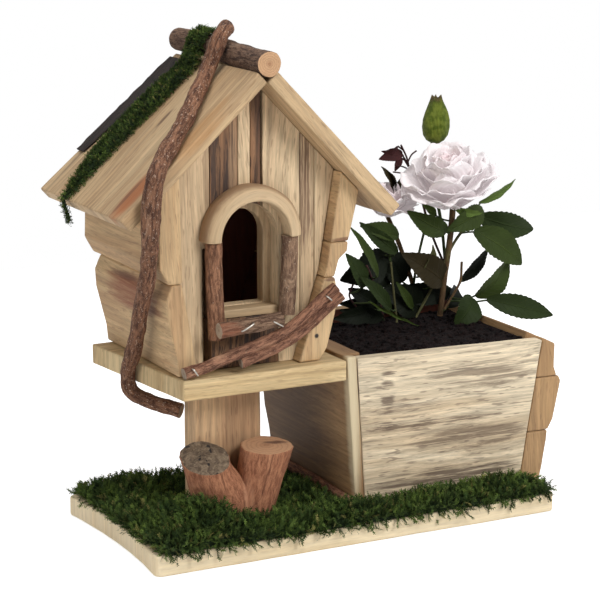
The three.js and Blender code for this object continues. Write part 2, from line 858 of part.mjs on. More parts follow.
// Roof moss: from the top of the log down along the seam, and over the eave in a tuft
const mossLog = ridgeLogPoints[3].clone().lerp(ridgeLogPoints[2], 0.4);
const mossTurnShares = [0.42, 0.61, 0.81, 1];
const mossEaveShares = [0.07, 0.28, 0.5, 0.72, 0.9, 1.02];
const mossCourse = [
  ...mossTurnShares.map((share) => {
    const out = vec(Math.cos(share * Math.PI), 0, Math.sin(share * Math.PI));
    return { out, foot: mossLog.clone().addScaledVector(out, ridgeLogRadius + fit * 4), s: 0 };
  }),
  ...mossEaveShares.map((share) => {
    const s = share * roofLength;
    return { out: leftRoof.up, foot: leftRoof.point(s, 0, fit), s };
  }),
  ...[0.5, 1].map((share) => {
    const foot = leftRoof.point(roofLength + mossOverhang, 0, -mossOverhang * 2 * share);
    return { out: vec(-1, 0, 0), foot: foot.add(vec(0, 0, -mossHang * (share - 0.5))), s: roofLength };
  }),
];
const mossEdgeShare = 0.5;
const mossSwellShare = 0.2;
const mossFrontShares = [0.4, 0.2];
const mossBackShares = [0.45, -0.05];
const mossTaperShare = 0.6;
const mossFrontAt = (share) => roofSeam - roofMossWidth * mix(...mossFrontShares, share);
const mossBackAt = (share) => {
  const barkWidth = mix(barkStripWidth, barkStripWidth / 2, share / barkRunShares[1]);
  const behind = share <= barkRunShares[1] ? barkWidth : 0;
  const edge = roofBackAt(share * roofLength) - behind - fit * 2;
  const taper = Math.pow(Math.max(0, share - mossTaperShare) / (1 - mossTaperShare), 2);
  return Math.min(edge, roofSeam + roofMossWidth * mix(...mossBackShares, taper));
};
const roofMoss = sheet(4, mossCourse.length - 1, (u, v, top) => {
  const { out, foot, s } = mossCourse[Math.round(v * (mossCourse.length - 1))];
  const share = Math.min(1, s / roofLength);
  const y = mix(mossFrontAt(share), mossBackAt(share), u);
  const swell = mix(mossEdgeShare, 1, edgeDrop(u, v)) + lumpAt(s, y) * mossSwellShare;
  return foot.clone().setY(y).addScaledVector(out, top ? roofMossThick * swell : 0);
});
const logCutter = rod(ridgeLogPoints, ridgeLogRadius + fit, 10, 12);
addMesh("roof_moss", cut(roofMoss, logCutter), "moss");

// Branch: over the ridge log, down the left roof, in front of its edge, past the deck and in to the post

const logCentre = ridgeLogPoints[2];
const overLog = (turn, along) => {
  const reach = ridgeLogRadius + branchRadius + fit * 3;
  return vec(
    logCentre.x + Math.cos(turn) * reach,
    mix(roofFront, roofSeam, along),
    logCentre.z + Math.sin(turn) * reach,
  );
};
const onRoofShares = [
  [0.09, 0.52],
  [0.2, 0.41],
  [0.38, 0.235],
  [0.52, 0.125],
  [0.656, 0.025],
];
const branchStand = branchRadius + fit * 2;
const edgeY = roofFront - branchStand;
const besideDeckY = mix(frontSetback, baseDepth, 0.5);
const deckEdge = deckLeft - deckSkew * ((besideDeckY - frontSetback) / (baseDepth - frontSetback));
const eaveAt = (share, lift) => leftRoof.point(share * roofLength, edgeY, lift);
const besideWallShares = [
  [0.852, -0.045, 4.47],
  [0.695, 0.066, 3.6],
  [0.542, 0.145, 3.23],
  [0.38, 0.253, 2.85],
  [0.222, 0.335, 2.66],
  [0.07, 0.437, 2.35],
];
const branchPoints = [
  overLog(1.45, 0.72),
  overLog(2, 0.6),
  overLog(2.5, 0.54),
  ...onRoofShares.map(([s, y]) =>
    leftRoof.point(s * roofLength, mix(roofFront, roofSeam, y), branchStand),
  ),
  eaveAt(0.728, branchStand),
  eaveAt(0.77, branchStand * 0.5),
  eaveAt(0.82, -branchStand * 0.25),
  eaveAt(0.862, -branchStand * 1.13),
  ...besideWallShares.map(([up, deep, stand]) => {
    const z = mix(deckTop, deckTop + leftSeamRise * 2, up);
    return vec(leftFoot - branchStand * stand, mix(roofFront, baseDepth, deep), z);
  }),
  vec(deckEdge - branchStand, besideDeckY, deckTop - deckThick * 0.4),
  vec(deckEdge - branchStand * 0.7, besideDeckY, deckUnder - branchRadius),
  vec(mix(deckEdge, postLeft, 0.2), mix(besideDeckY, postBack, 0.6), deckUnder - branchStand * 1.9),
  vec(postLeft - branchStand, (postFront + postBack) / 2, deckUnder - branchStand * 2.7),
];
addMesh("climbing_branch", rod(branchPoints, branchRadius, 56, 8), "bark");

// Stubs of wood: a tapered round that leans and is sawn off on the slant

function stub({ x, y, lean, foot, top, height, tilt, grow = 0 }) {
  const rise = height * 2;
  const radiusAt = (z) => mix(foot, top, z / height) + grow;
  const profile = [
    [0, 0],
    [radiusAt(0), 0],
    [radiusAt(height), height],
    [radiusAt(height), rise],
    [0, rise],
  ];
  const round = new THREE.LatheGeometry(profile.map(([r, z]) => new THREE.Vector2(r, z)), 14);
  round.rotateX(Math.PI / 2);
  round.applyMatrix4(new THREE.Matrix4().makeShear(0, 0, 0, 0, lean / height, 0));
  const saw = new THREE.BoxGeometry(rise * 3, rise * 3, rise * 2).translate(0, 0, rise);
  saw.rotateX(radians(tilt)).rotateZ(-radians(tilt / 2)).translate(lean, 0, height + grow);
  return cut(faceOut(weld(round)), saw).translate(x, y, baseTop);
}

const stubs = {
  stump: {
    x: stumpX,
    y: stumpY,
    lean: stumpLean,
    foot: stumpFootRadius,
    top: stumpTopRadius,
    height: stumpHeight,
    tilt: stumpTilt,
  },
  limb: {
    x: knotX,
    y: knotY,
    lean: knotLean,
    foot: knotFootRadius,
    top: knotTopRadius,
    height: knotHeight,
    tilt: knotTilt,
  },
};
const stubCutters = Object.values(stubs).map((sizes) => stub({ ...sizes, grow: fit }).translate(0, 0, -fit));
addMesh("stump", stub(stubs.stump), "terracotta");
addMesh("knotty_limb", cut(stub(stubs.limb), stubCutters[0]), "knot");

// Strip of bark along the foot of the planter's left wall
const stripZ = baseTop + stripRadius * 2.4;
const stripX = planterLeft(stripZ - stripRadius) - stripRadius - fit * 2;
const stripPoints = [
  vec(stripX, frontSetback - stripRadius * 4, stripZ - stripRadius * 0.7),
  vec(stripX, mix(frontSetback, planterBack, 0.4), stripZ),
  vec(stripX, planterBack - stripRadius, stripZ),
];
addMesh("planter_side_twig", rod(stripPoints, stripRadius, 8, 8), "bark");
const stripCutter = rod(stripPoints, stripRadius + fit, 8, 8);

// Lawn of moss round the pieces on the base, heaped up at the knotty limb

const moundX = 38;
const moundY = 22;
const moundShare = 8;
const moundReachShare = 0.85;
const mossCellShare = 1.3;
function lawnPatch(x0, x1, y0, y1) {
  const cell = mossThick * mossCellShare;
  const columns = Math.max(3, Math.round((x1 - x0) / cell));
  const rows = Math.max(2, Math.round((y1 - y0) / cell));
  return sheet(columns, rows, (u, v, top) => {
    const x = mix(x0, x1, u);
    const y = mix(y0, y1, v);
    const reach = Math.hypot(x - moundX, y - moundY) / (mossWave * moundReachShare);
    const mound = moundShare * Math.exp(-reach * reach);
    const height = mix(mossEdgeShare, 1, edgeDrop(u, v)) * mossThick + (lumpAt(x, y) + mound) * mossLump;
    return vec(x, y, baseTop + (top ? height : 0));
  });
}
const lawnFront = frontSetback - fit;
const lawnBack = baseDepth - fit;
const lawnRight = stripX - stripRadius - fit;
const lawns = {
  front: [baseCorner, baseWidth - baseCorner, -mossOverhang, lawnFront],
  left: [baseCorner, postLeft - fit, frontSetback, lawnBack],
  middle: [stumpX + stumpFootRadius, lawnRight, frontSetback, postFront - fit],
  right: [postRight + fit, lawnRight, postFront, lawnBack],
  back: [postLeft, postRight, postBack + fit, lawnBack],
};
for (const [name, bounds] of Object.entries(lawns)) {
  addMesh("lawn_" + name, cut(lawnPatch(...bounds), stripCutter, ...stubCutters), "moss");
}

// Rose plant: places are shares across, into and up from the planter

const plantSpot = ([across, deep, up]) =>
  vec(
    planterLeftInner(planterRim) + across * planterInnerWidth,
    mix(frontSetback, planterBack, deep),
    soilTop + fit + up * plantHeight,
  );
const budSpotShares = [0.875, 0.89, 0.757];
const plantCurve = (spotShares) => new THREE.CatmullRomCurve3(spotShares.map(plantSpot));

// A pointed leaf from base to tip, folded along its middle and arched; at() gives a point of its midrib
function leaf(base, tip, width) {
  const along = tip.clone().sub(base);
  const across = along.clone().cross(axisY).normalize();
  const up = across.clone().cross(along).normalize();
  if (up.z < 0) up.negate();
  const at = (v, rise = 0) => {
    const arch = Math.sin(v * Math.PI) * width * leafArchShare;
    return base.clone().addScaledVector(along, v).addScaledVector(up, arch + rise);
  };
  const blade = sheet(2, 4, (u, v, top) => {
    const half = (width / 2) * Math.pow(Math.sin(mix(...bladeShares, v) * Math.PI), bladeFullness);
    const side = u * 2 - 1;
    const rise = Math.abs(side) * half * leafFoldShare + (top ? leafThick : 0);
    return at(v, rise).addScaledVector(across, side * half);
  });
  return { at, blade };
}

// A cane with its side twigs and its leaves, each on a stalk that runs on as its midrib. A leaf's shares are
// where it leaves the cane, its base, its tip and its width.
function cane({ name, radius, stemShares, leafShares, twigs = [] }) {
  const curve = plantCurve(stemShares);
  const solids = [rod(curve.points, radius, 8, 6)];
  for (const twigShares of twigs) {
    solids.push(rod(plantCurve(twigShares).points, stalkRadius, 6, 5));
  }
  for (const [fromShare, baseShares, tipShares, widthShare] of leafShares) {
    const { at, blade } = leaf(plantSpot(baseShares), plantSpot(tipShares), widthShare * leafWidth);
    const root = curve.getPoint(fromShare);
    const ribs = [root, root.clone().lerp(at(0), stalkBendShare), ...midribShares.map((v) => at(v))];
    solids.push(rod(ribs, stalkRadius, 3, 5), blade);
  }
  addMesh(name, join(...solids), "leaf");
  return curve;
}

const mainCane = cane({
  name: "rose_main_cane",
  radius: caneRadius,
  stemShares: [[0.87, 0.8, 0], [0.885, 0.76, 0.22], [0.88, 0.7, 0.36], [0.865, 0.66, 0.5]],
  leafShares: [
    [0.8, [0.835, 0.717, 0.403], [0.593, 0.642, 0.499], 0.93],
    [0.78, [0.93, 0.717, 0.397], [1.071, 0.679, 0.475], 0.77],
    [0.74, [1.071, 0.755, 0.41], [1.42, 0.717, 0.362], 1],
    [0.6, [1.004, 0.679, 0.378], [1.279, 0.585, 0.227], 1],
    [0.2, [1.008, 0.642, 0.111], [1.212, 0.604, 0.252], 1.16],
    [0.16, [1.074, 0.623, 0.09], [1.45, 0.509, 0.02], 1],
    [0.12, [0.96, 0.58, 0.12], [0.78, 0.4, 0.04], 0.93],
    [0.3, [0.99, 0.792, 0.149], [1.203, 0.83, 0.264], 0.7],
    [0.48, [0.927, 0.774, 0.242], [1.054, 0.755, 0.347], 0.62],
    [0.5, [0.66, 0.93, 0.7], [0.53, 0.91, 0.78], 0.7],
  ],
  twigs: [
    [[0.885, 0.74, 0.28], [0.89, 0.86, 0.42], [0.875, 0.92, 0.6], budSpotShares],
    [[0.885, 0.74, 0.26], [0.82, 0.9, 0.42], [0.77, 0.93, 0.56], [0.66, 0.93, 0.7]],
  ],
});
const leftCane = cane({
  name: "rose_left_cane",
  radius: leftCaneRadius,
  stemShares: [
    [0.724, 0.845, 0],
    [0.722, 0.83, 0.178],
    [0.665, 0.83, 0.27],
    [0.6, 0.84, 0.36],
    [0.56, 0.855, 0.445],
  ],
  leafShares: [
    [0.6, [0.677, 0.755, 0.237], [0.581, 0.717, 0.329], 0.77],
    [0.35, [0.731, 0.792, 0.158], [0.85, 0.8, 0.233], 0.7],
  ],
});
cane({
  name: "rose_side_cane",
  radius: stalkRadius,
  stemShares: [[0.64, 0.86, 0], [0.6, 0.84, 0.12], [0.56, 0.81, 0.25], [0.535, 0.79, 0.36]],
  leafShares: [
    [0.95, [0.51, 0.77, 0.34], [0.329, 0.717, 0.465], 0.7],
    [0.75, [0.52, 0.84, 0.263], [0.409, 0.86, 0.285], 1.1],
    [0.5, [0.427, 0.774, 0.236], [0.2, 0.698, 0.247], 1],
    [0.55, [0.455, 0.73, 0.184], [0.207, 0.65, 0.46], 0.62],
    [0.25, [0.505, 0.755, 0.082], [0.293, 0.679, 0.225], 0.85],
    [0.3, [0.44, 0.6, 0.11], [0.64, 0.42, 0.03], 0.3],
    [0.2, [0.56, 0.88, 0.09], [0.42, 0.9, 0.1], 0.85],
  ],
});

// A bloom: petals that curve up from the core in rings, the outer ones open and the inner ones closed

const petalRings = [
  { count: 6, span: 1.15, turn: 0.2, shares: [[0.12, 0.03], [0.5, 0.1], [0.82, 0.26], [1, 0.5]] },
  { count: 5, span: 1.25, turn: 0.75, shares: [[0.12, 0.08], [0.42, 0.2], [0.66, 0.46], [0.76, 0.76]] },
  { count: 3, span: 1.3, turn: 0.1, shares: [[0.12, 0.14], [0.3, 0.3], [0.42, 0.6], [0.44, 1]] },
];
const bloomDepthShare = 0.75;
const petalShares = [0.3, 0.8];
const petalRimShare = 0.12;

function petal(radius, height, { count, span, turn, shares }, i) {
  const curve = new THREE.CatmullRomCurve3(shares.map(([r, z]) => vec(r * radius, 0, z * height)));
  return sheet(3, 3, (u, v, top) => {
    const point = curve.getPoint(v);
    const tangent = curve.getTangent(v);
    const spread = Math.sin(mix(...petalShares, v) * Math.PI) * (span / count) * Math.PI;
    const angle = turn + ((i + 0.5) / count) * Math.PI * 2 + (u * 2 - 1) * spread;
    const rim = 1 - petalRimShare * v * Math.pow(u * 2 - 1, 2);
    const r = point.x * rim - (top ? tangent.z * petalThick : 0);
    const z = point.z * rim + (top ? tangent.x * petalThick : 0);
    return vec(Math.cos(angle) * r, Math.sin(angle) * r * bloomDepthShare, z);
  });
}

function bloom(radius, height, rings) {
  const coreShares = [[0, 0], [0.14, 0], [0.22, 0.12], [0.3, 0.4], [0.26, 0.7], [0, 0.85]];
  const profile = coreShares.map(([r, z]) => new THREE.Vector2(r * radius, z * height));
  const core = new THREE.LatheGeometry(profile, 10).rotateX(Math.PI / 2).scale(1, bloomDepthShare, 1);
  const petals = rings.flatMap((ring) =>
    Array.from({ length: ring.count }, (_, i) => petal(radius, height, ring, i)),
  );
  return join(faceOut(weld(core)), ...petals);
}

// A flower head goes on the end of its stem, clear of the stem's slanting edge
function seatOn(head, foot, radius) {
  return head.translate(foot.x, foot.y, foot.z + radius * seatShare + fit);
}
const mainHead = bloom(bloomRadius, bloomHeight, petalRings);
addMesh("rose_bloom", seatOn(mainHead, mainCane.getPoint(1), caneRadius), "petal");
const rearHead = bloom(rearBloomRadius, rearBloomHeight, petalRings.slice(0, 2));
addMesh("rose_rear_bloom", seatOn(rearHead, leftCane.getPoint(1), leftCaneRadius), "petal");

// Bud on its stalk
const budShares = [[0, 0], [0.3, 0], [0.75, 0.12], [1, 0.35], [0.85, 0.65], [0.45, 0.9], [0, 1]];
const budProfile = budShares.map(([r, z]) => new THREE.Vector2(r * budRadius, z * budLength));
const bud = faceOut(weld(new THREE.LatheGeometry(budProfile, 12).rotateX(Math.PI / 2)));
addMesh("rose_bud", seatOn(bud, plantSpot(budSpotShares), stalkRadius), "bud");

// The origin is under the middle of the whole, on the ground
const bounds = new THREE.Box3().setFromObject(bench);
const middle = bounds.getCenter(vec(0, 0, 0));
bench.position.set(-middle.x, -middle.y, -bounds.min.z);

export default part;
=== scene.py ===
import math
import random

import bmesh
import bpy
from mathutils import Matrix, Vector, noise
from mathutils.bvhtree import BVHTree


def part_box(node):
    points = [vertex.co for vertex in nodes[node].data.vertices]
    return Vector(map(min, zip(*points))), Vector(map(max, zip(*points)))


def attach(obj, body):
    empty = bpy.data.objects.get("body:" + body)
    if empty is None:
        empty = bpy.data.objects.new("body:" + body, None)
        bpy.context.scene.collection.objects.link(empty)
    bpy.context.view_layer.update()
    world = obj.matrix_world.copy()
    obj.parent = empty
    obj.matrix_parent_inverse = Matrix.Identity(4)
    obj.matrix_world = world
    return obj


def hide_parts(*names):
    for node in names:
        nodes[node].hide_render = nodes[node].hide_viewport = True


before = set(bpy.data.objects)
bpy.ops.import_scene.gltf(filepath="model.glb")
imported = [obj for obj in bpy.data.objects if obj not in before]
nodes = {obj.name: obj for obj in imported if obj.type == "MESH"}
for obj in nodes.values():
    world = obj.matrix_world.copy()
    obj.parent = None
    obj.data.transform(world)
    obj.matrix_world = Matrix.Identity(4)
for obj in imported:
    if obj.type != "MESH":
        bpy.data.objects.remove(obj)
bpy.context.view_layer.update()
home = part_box("base_board")[0]  # the base's front left corner, on the ground
mm = 0.001
noise.seed_set(5)  # the same waves in the boards on each run


def spot(x, y, z):
    return home + Vector((x, y, z)) * mm


def mix(a, b, share):
    return a + (b - a) * share


def addObject(name, data):
    made = bpy.data.objects.new(name, data)
    bpy.context.scene.collection.objects.link(made)
    return made


def meshOf(shape, name):
    mesh = bpy.data.meshes.new(name)
    shape.to_mesh(mesh)
    shape.free()
    return mesh


# Camera at the photograph's angle
cameraView = {"place": (-472.1, -1076.2, 415.8), "turn": 27.5, "pitch": 12.5, "lens": 135.6}
camera = addObject("camera", bpy.data.cameras.new("camera"))
camera.data.lens = cameraView["lens"]
camera.data.clip_start = 0.05
camera.location = spot(*cameraView["place"])
camera.rotation_euler = (math.radians(90 - cameraView["pitch"]), 0, math.radians(-cameraView["turn"]))
bpy.context.scene.camera = camera
bpy.context.scene.view_settings.view_transform = "Standard"
print("camera is set")


# A field is a value that changes over the surface; a sum of fields is a math node
class Field:
    def __init__(self, tree, socket):
        self.tree, self.socket = tree, socket

    def __add__(self, other):
        return calc("ADD", self, other)

    def __sub__(self, other):
        return calc("SUBTRACT", self, other)

    def __rsub__(self, other):
        return calc("SUBTRACT", other, self)

    def __mul__(self, other):
        return calc("MULTIPLY", self, other)

    def __truediv__(self, other):
        return calc("DIVIDE", self, other)


def fill(node, sockets):
    for key, value in sockets.items():
        if isinstance(value, Field):
            value.tree.links.new(value.socket, node.inputs[key])
        else:
            node.inputs[key].default_value = value


# Puts a node in the tree of the fields that feed it, and gives one of its outputs
def put(kind, sockets, out=0, tree=None, **settings):
    tree = tree or next(value.tree for value in sockets.values() if isinstance(value, Field))
    node = tree.nodes.new(kind)
    for name, value in settings.items():
        setattr(node, name, value)
    fill(node, sockets)
    return Field(tree, node.outputs[out])


def calc(operation, *values):
    return put("ShaderNodeMath", dict(enumerate(values)), operation=operation)


def vectorCalc(operation, *values, out=0):
    return put("ShaderNodeVectorMath", dict(enumerate(values)), out, operation=operation)


# Noise; along is how much of its detail is left along the fibres
def noiseOf(field, scale, detail=3, roughness=0.55, distortion=0, along=1):
    if along != 1:
        field = vectorCalc("MULTIPLY", field, (along, 1, 1))
    sockets = {
        "Vector": field, "Scale": scale, "Detail": detail, "Roughness": roughness, "Distortion": distortion,
    }
    return put("ShaderNodeTexNoise", sockets, "Fac")


def between(value, low, high):
    sockets = {"Value": value, "From Min": low, "From Max": high}
    return put("ShaderNodeMapRange", sockets, "Result", interpolation_type="SMOOTHSTEP")


def tint(share, a, b, mode="MIX"):
    return put("ShaderNodeMix", {0: share, 6: a, 7: b}, 2, data_type="RGBA", blend_type=mode)


def attribute(tree, name):
    return put("ShaderNodeAttribute", {}, "Vector", tree, attribute_name=name)


def place(tree):
    return put("ShaderNodeTexCoord", {}, "Object", tree)


def parts(field):
    separate = put("ShaderNodeSeparateXYZ", {0: field}).socket.node
    return [Field(field.tree, socket) for socket in separate.outputs]


def paint(red, green, blue):
    channels = [c / 255 for c in (red, green, blue)]
    return (*[c / 12.92 if c <= 0.04045 else ((c + 0.055) / 1.055) ** 2.4 for c in channels], 1)


def newGroup(name, vectors, colours, values, outputs="Color Height"):
    group = bpy.data.node_groups.new(name, "ShaderNodeTree")
    for kind, labels in {"Vector": vectors, "Color": colours, "Float": values}.items():
        for label in labels.split():
            group.interface.new_socket(label, in_out="INPUT", socket_type="NodeSocket" + kind)
    for label in outputs.split():
        kind = "Color" if label == "Color" else "Float"
        group.interface.new_socket(label, in_out="OUTPUT", socket_type="NodeSocket" + kind)
    given = {socket.name: Field(group, socket) for socket in group.nodes.new("NodeGroupInput").outputs}
    return group, given, group.nodes.new("NodeGroupOutput")


def useGroup(group, sockets):
    made = put("ShaderNodeGroup", sockets, node_tree=group)
    return {socket.name: Field(made.tree, socket) for socket in made.socket.node.outputs}


def newMaterial(name, roughness, specular=0.5):
    material = bpy.data.materials.new(name)
    material.use_nodes = True
    surface = material.node_tree.nodes["Principled BSDF"]
    fill(surface, {"Roughness": roughness, "Specular IOR Level": specular})
    return material, material.node_tree, surface


def finish(surface, color, height=None, depth=0):
    fill(surface, {"Base Color": color})
    if height:
        normal = put("ShaderNodeBump", {"Height": height, "Distance": depth, "Strength": 1})
        fill(surface, {"Normal": normal})


# Timber: fibres run along the first axis of the grain
def timberGroup():
    group, given, leave = newGroup("timberGrain", "Grain", "Pale Tan Dark", "Bands Streaks Fibre")
    sway = noiseOf(given["Grain"], 14, 1, along=0.6)
    sways = put("ShaderNodeCombineXYZ", {1: sway * 0.02, 2: sway * 0.012})
    grain = vectorCalc("ADD", given["Grain"], sways)
    broad = noiseOf(grain, 24, 2, 0.5, 0.4, along=0.2)
    bands = noiseOf(grain, 130, 4, 0.65, 0.3, along=0.05)
    fibres = noiseOf(grain, 430, 4, 0.75, along=0.035)
    streaks = noiseOf(grain, 300, 5, 0.8, 0.3, along=0.035)
    patches = noiseOf(grain, 32, 3, 0.6, along=0.22)
    pores = noiseOf(grain, 760, 1, 0.5, along=0.13)
    banded = between(broad * 0.5 + bands * 0.5, 0.4, 0.62) * given["Bands"]
    base = tint(banded, given["Pale"], given["Tan"])
    worn = streaks * 0.45 + fibres * 0.25 + patches * 0.3
    least = 0.69 - given["Streaks"] * 0.24
    streak = between(worn, least, least + 0.06)
    streaked = tint(streak * 0.85, base, given["Dark"])
    fine = (fibres - 0.5) * (given["Fibre"] * 2.4) + 1
    fibred = tint(1, streaked, put("ShaderNodeCombineColor", {0: fine, 1: fine, 2: fine}), "MULTIPLY")
    pits = between(pores, 0.6, 0.7) * (given["Fibre"] * 0.55)
    height = fibres * 0.8 + bands * 0.6 - streak * 0.3
    fill(leave, {"Color": tint(pits, fibred, given["Dark"]), "Height": height})
    return group


# Bark: ridges along the twig, worn patches, cracks and fine pale specks
def barkGroup():
    group, given, leave = newGroup("barkSkin", "Grain", "Skin Ridge Bare Fleck", "Worn Flecks")
    grain = given["Grain"]
    ridges = noiseOf(grain, 560, 6, 0.85, 0.3, along=0.24)
    cracks = noiseOf(grain, 300, 4, 0.7, 1.2, along=0.13)
    patches = noiseOf(grain, 90, 4, 0.7, 0.6, along=0.4)
    specks = noiseOf(grain, 1000, 3, 0.75, along=0.6)
    skin = tint(between(ridges, 0.4, 0.6), given["Ridge"], given["Skin"])
    bare = between(patches, 0.72 - given["Worn"] * 0.3, 0.74)
    worn = tint(bare * 0.8, skin, given["Bare"])
    dark = between(cracks, 0.44, 0.36)
    cracked = tint(dark * 0.8, worn, given["Ridge"])
    least = 0.74 - given["Flecks"] * 0.17
    dots = between(specks, least, least + 0.06)
    color = tint(dots * 0.7, cracked, given["Fleck"])
    fill(leave, {"Color": color, "Height": ridges + dots * 0.3 - dark * 0.8})
    return group


# Sawn ends: rings round the middle of the cut; here the grain is the place on the cut
def sawnGroup():
    group, given, leave = newGroup("sawnEnd", "Grain", "Pale Ring Heart", "Radius")
    cut = given["Grain"]
    wobble = noiseOf(cut, 160)
    share = vectorCalc("LENGTH", cut, out="Value") / given["Radius"] + wobble * 0.3
    rings = calc("SINE", share * 34)
    grit = noiseOf(cut, 1500, 3, 0.7)
    base = tint(between(share, 0.15, 0.5), given["Heart"], given["Pale"])
    ringed = tint(between(rings, 0.1, 0.9) * 0.35, base, given["Ring"])
    color = tint(between(grit, 0.5, 0.7) * 0.3, ringed, given["Ring"])
    fill(leave, {"Color": color, "Height": grit + rings * 0.2})
    return group


# A patch, used for staining in the wood and for painted shade: a long patch with ragged ends, at a place on
# the object
def makeStainAndShadeGroup():
    group, given, leave = newGroup(
        "stain", "Grain Centre Along", "Color Stain", "Long Wide Share Lines", "Color",
    )
    away = vectorCalc("SUBTRACT", place(group), given["Centre"])
    run = vectorCalc("DOT_PRODUCT", away, given["Along"], out="Value")
    far = vectorCalc("DOT_PRODUCT", away, away, out="Value")
    sides = (far - run * run) / (given["Wide"] * given["Wide"])
    ends = run * run / (given["Long"] * given["Long"])
    ragged = noiseOf(given["Grain"], 230, 5, 0.75, 0.4, along=0.08)
    reach = sides + ends + (ragged - 0.5) * (given["Lines"] * 4 + 1)
    fibres = noiseOf(given["Grain"], 420, 4, 0.75, 0.3, along=0.03)
    broken = 1 - between(fibres, 0.56, 0.44) * given["Lines"]
    mask = between(reach, 1.3, 0.2) * broken * given["Share"]
    fill(leave, {"Color": tint(mask, given["Color"], given["Stain"])})
    return group


stainAndShadeGroup = makeStainAndShadeGroup()
# Finishes: node group, its sockets, attribute read, roughness, specular level, depth of the bump
finishes = {
    "timber": (timberGroup(), "Pale Tan Dark Bands Streaks Fibre", "grain", 0.72, 0.5, 0.0004),
    "bark": (barkGroup(), "Skin Ridge Bare Fleck Worn Flecks", "grain", 0.85, 0.25, 0.0006),
    "sawn": (sawnGroup(), "Pale Ring Heart Radius", "cut", 0.8, 0.5, 0.0003),
}


def useFinish(kind, grain, look):
    group, names = finishes[kind][:2]
    values = [paint(*value) if isinstance(value, tuple) else value for value in look]
    return useGroup(group, {"Grain": grain, **dict(zip(names.split(), values))})


def woodMaterial(kind, name, look, stainsAndShades=()):
    reads, roughness, specular, depth = finishes[kind][2:]
    material, tree, surface = newMaterial(f"{kind}_{name}", roughness, specular)
    grain = attribute(tree, reads)
    made = useFinish(kind, grain, look)
    color = made["Color"]
    for shade, centre, along, long, wide, share, lines in stainsAndShades:
        patch = {"Centre": spot(*centre), "Along": Vector(along).normalized(), "Long": long * mm}
        sockets = {"Color": color, "Stain": paint(*shade), "Grain": grain, "Share": share, "Lines": lines}
        color = useGroup(stainAndShadeGroup, {**sockets, **patch, "Wide": wide * mm})["Color"]
    finish(surface, color, made["Height"], depth)
    return material


# Timbers: pale, tan and dark colours, then the strength of the bands, streaks and fibres
timbers = {
    "base": ((232, 214, 180), (220, 198, 158), (182, 152, 114), 0.8, 0.16, 0.3),
    "deck": ((208, 184, 140), (180, 152, 108), (124, 94, 62), 1, 0.4, 0.6),
    "post": ((202, 168, 128), (164, 128, 94), (108, 76, 54), 1, 0.5, 0.7),
    "wall": ((202, 172, 130), (170, 136, 98), (112, 76, 50), 1, 0.42, 0.6),
    "gablePale": ((212, 188, 152), (190, 164, 130), (128, 98, 74), 1, 0.46, 0.8),
    "gableBrown": ((134, 98, 68), (86, 59, 42), (32, 20, 18), 1, 0.84, 1.3),
    "arch": ((204, 178, 142), (180, 152, 116), (132, 98, 70), 1, 0.4, 0.6),
    "roof": ((194, 166, 128), (166, 136, 100), (116, 82, 54), 1, 0.44, 0.6),
    "limed": ((212, 196, 168), (188, 168, 138), (98, 80, 68), 1, 0.6, 1.0),
    "side": ((166, 132, 92), (138, 106, 72), (90, 62, 42), 1, 0.38, 0.6),
    "shadow": ((112, 58, 40), (92, 46, 32), (60, 30, 22), 1, 0.3, 0.4),
    "inner": ((190, 160, 118), (166, 132, 92), (122, 88, 58), 0.9, 0.3, 0.4),
}
alongX, alongY, alongZ = (1, 0, 0), (0, 1, 0), (0, 0, 1)
leftSlope = (-math.cos(math.radians(42.5)), 0, -math.sin(math.radians(42.5)))
rightSlope = (math.cos(math.radians(46)), 0, -math.sin(math.radians(46)))


def onRoof(down, y):
    return (72.9 + leftSlope[0] * down, y, 271.4 + leftSlope[2] * down)
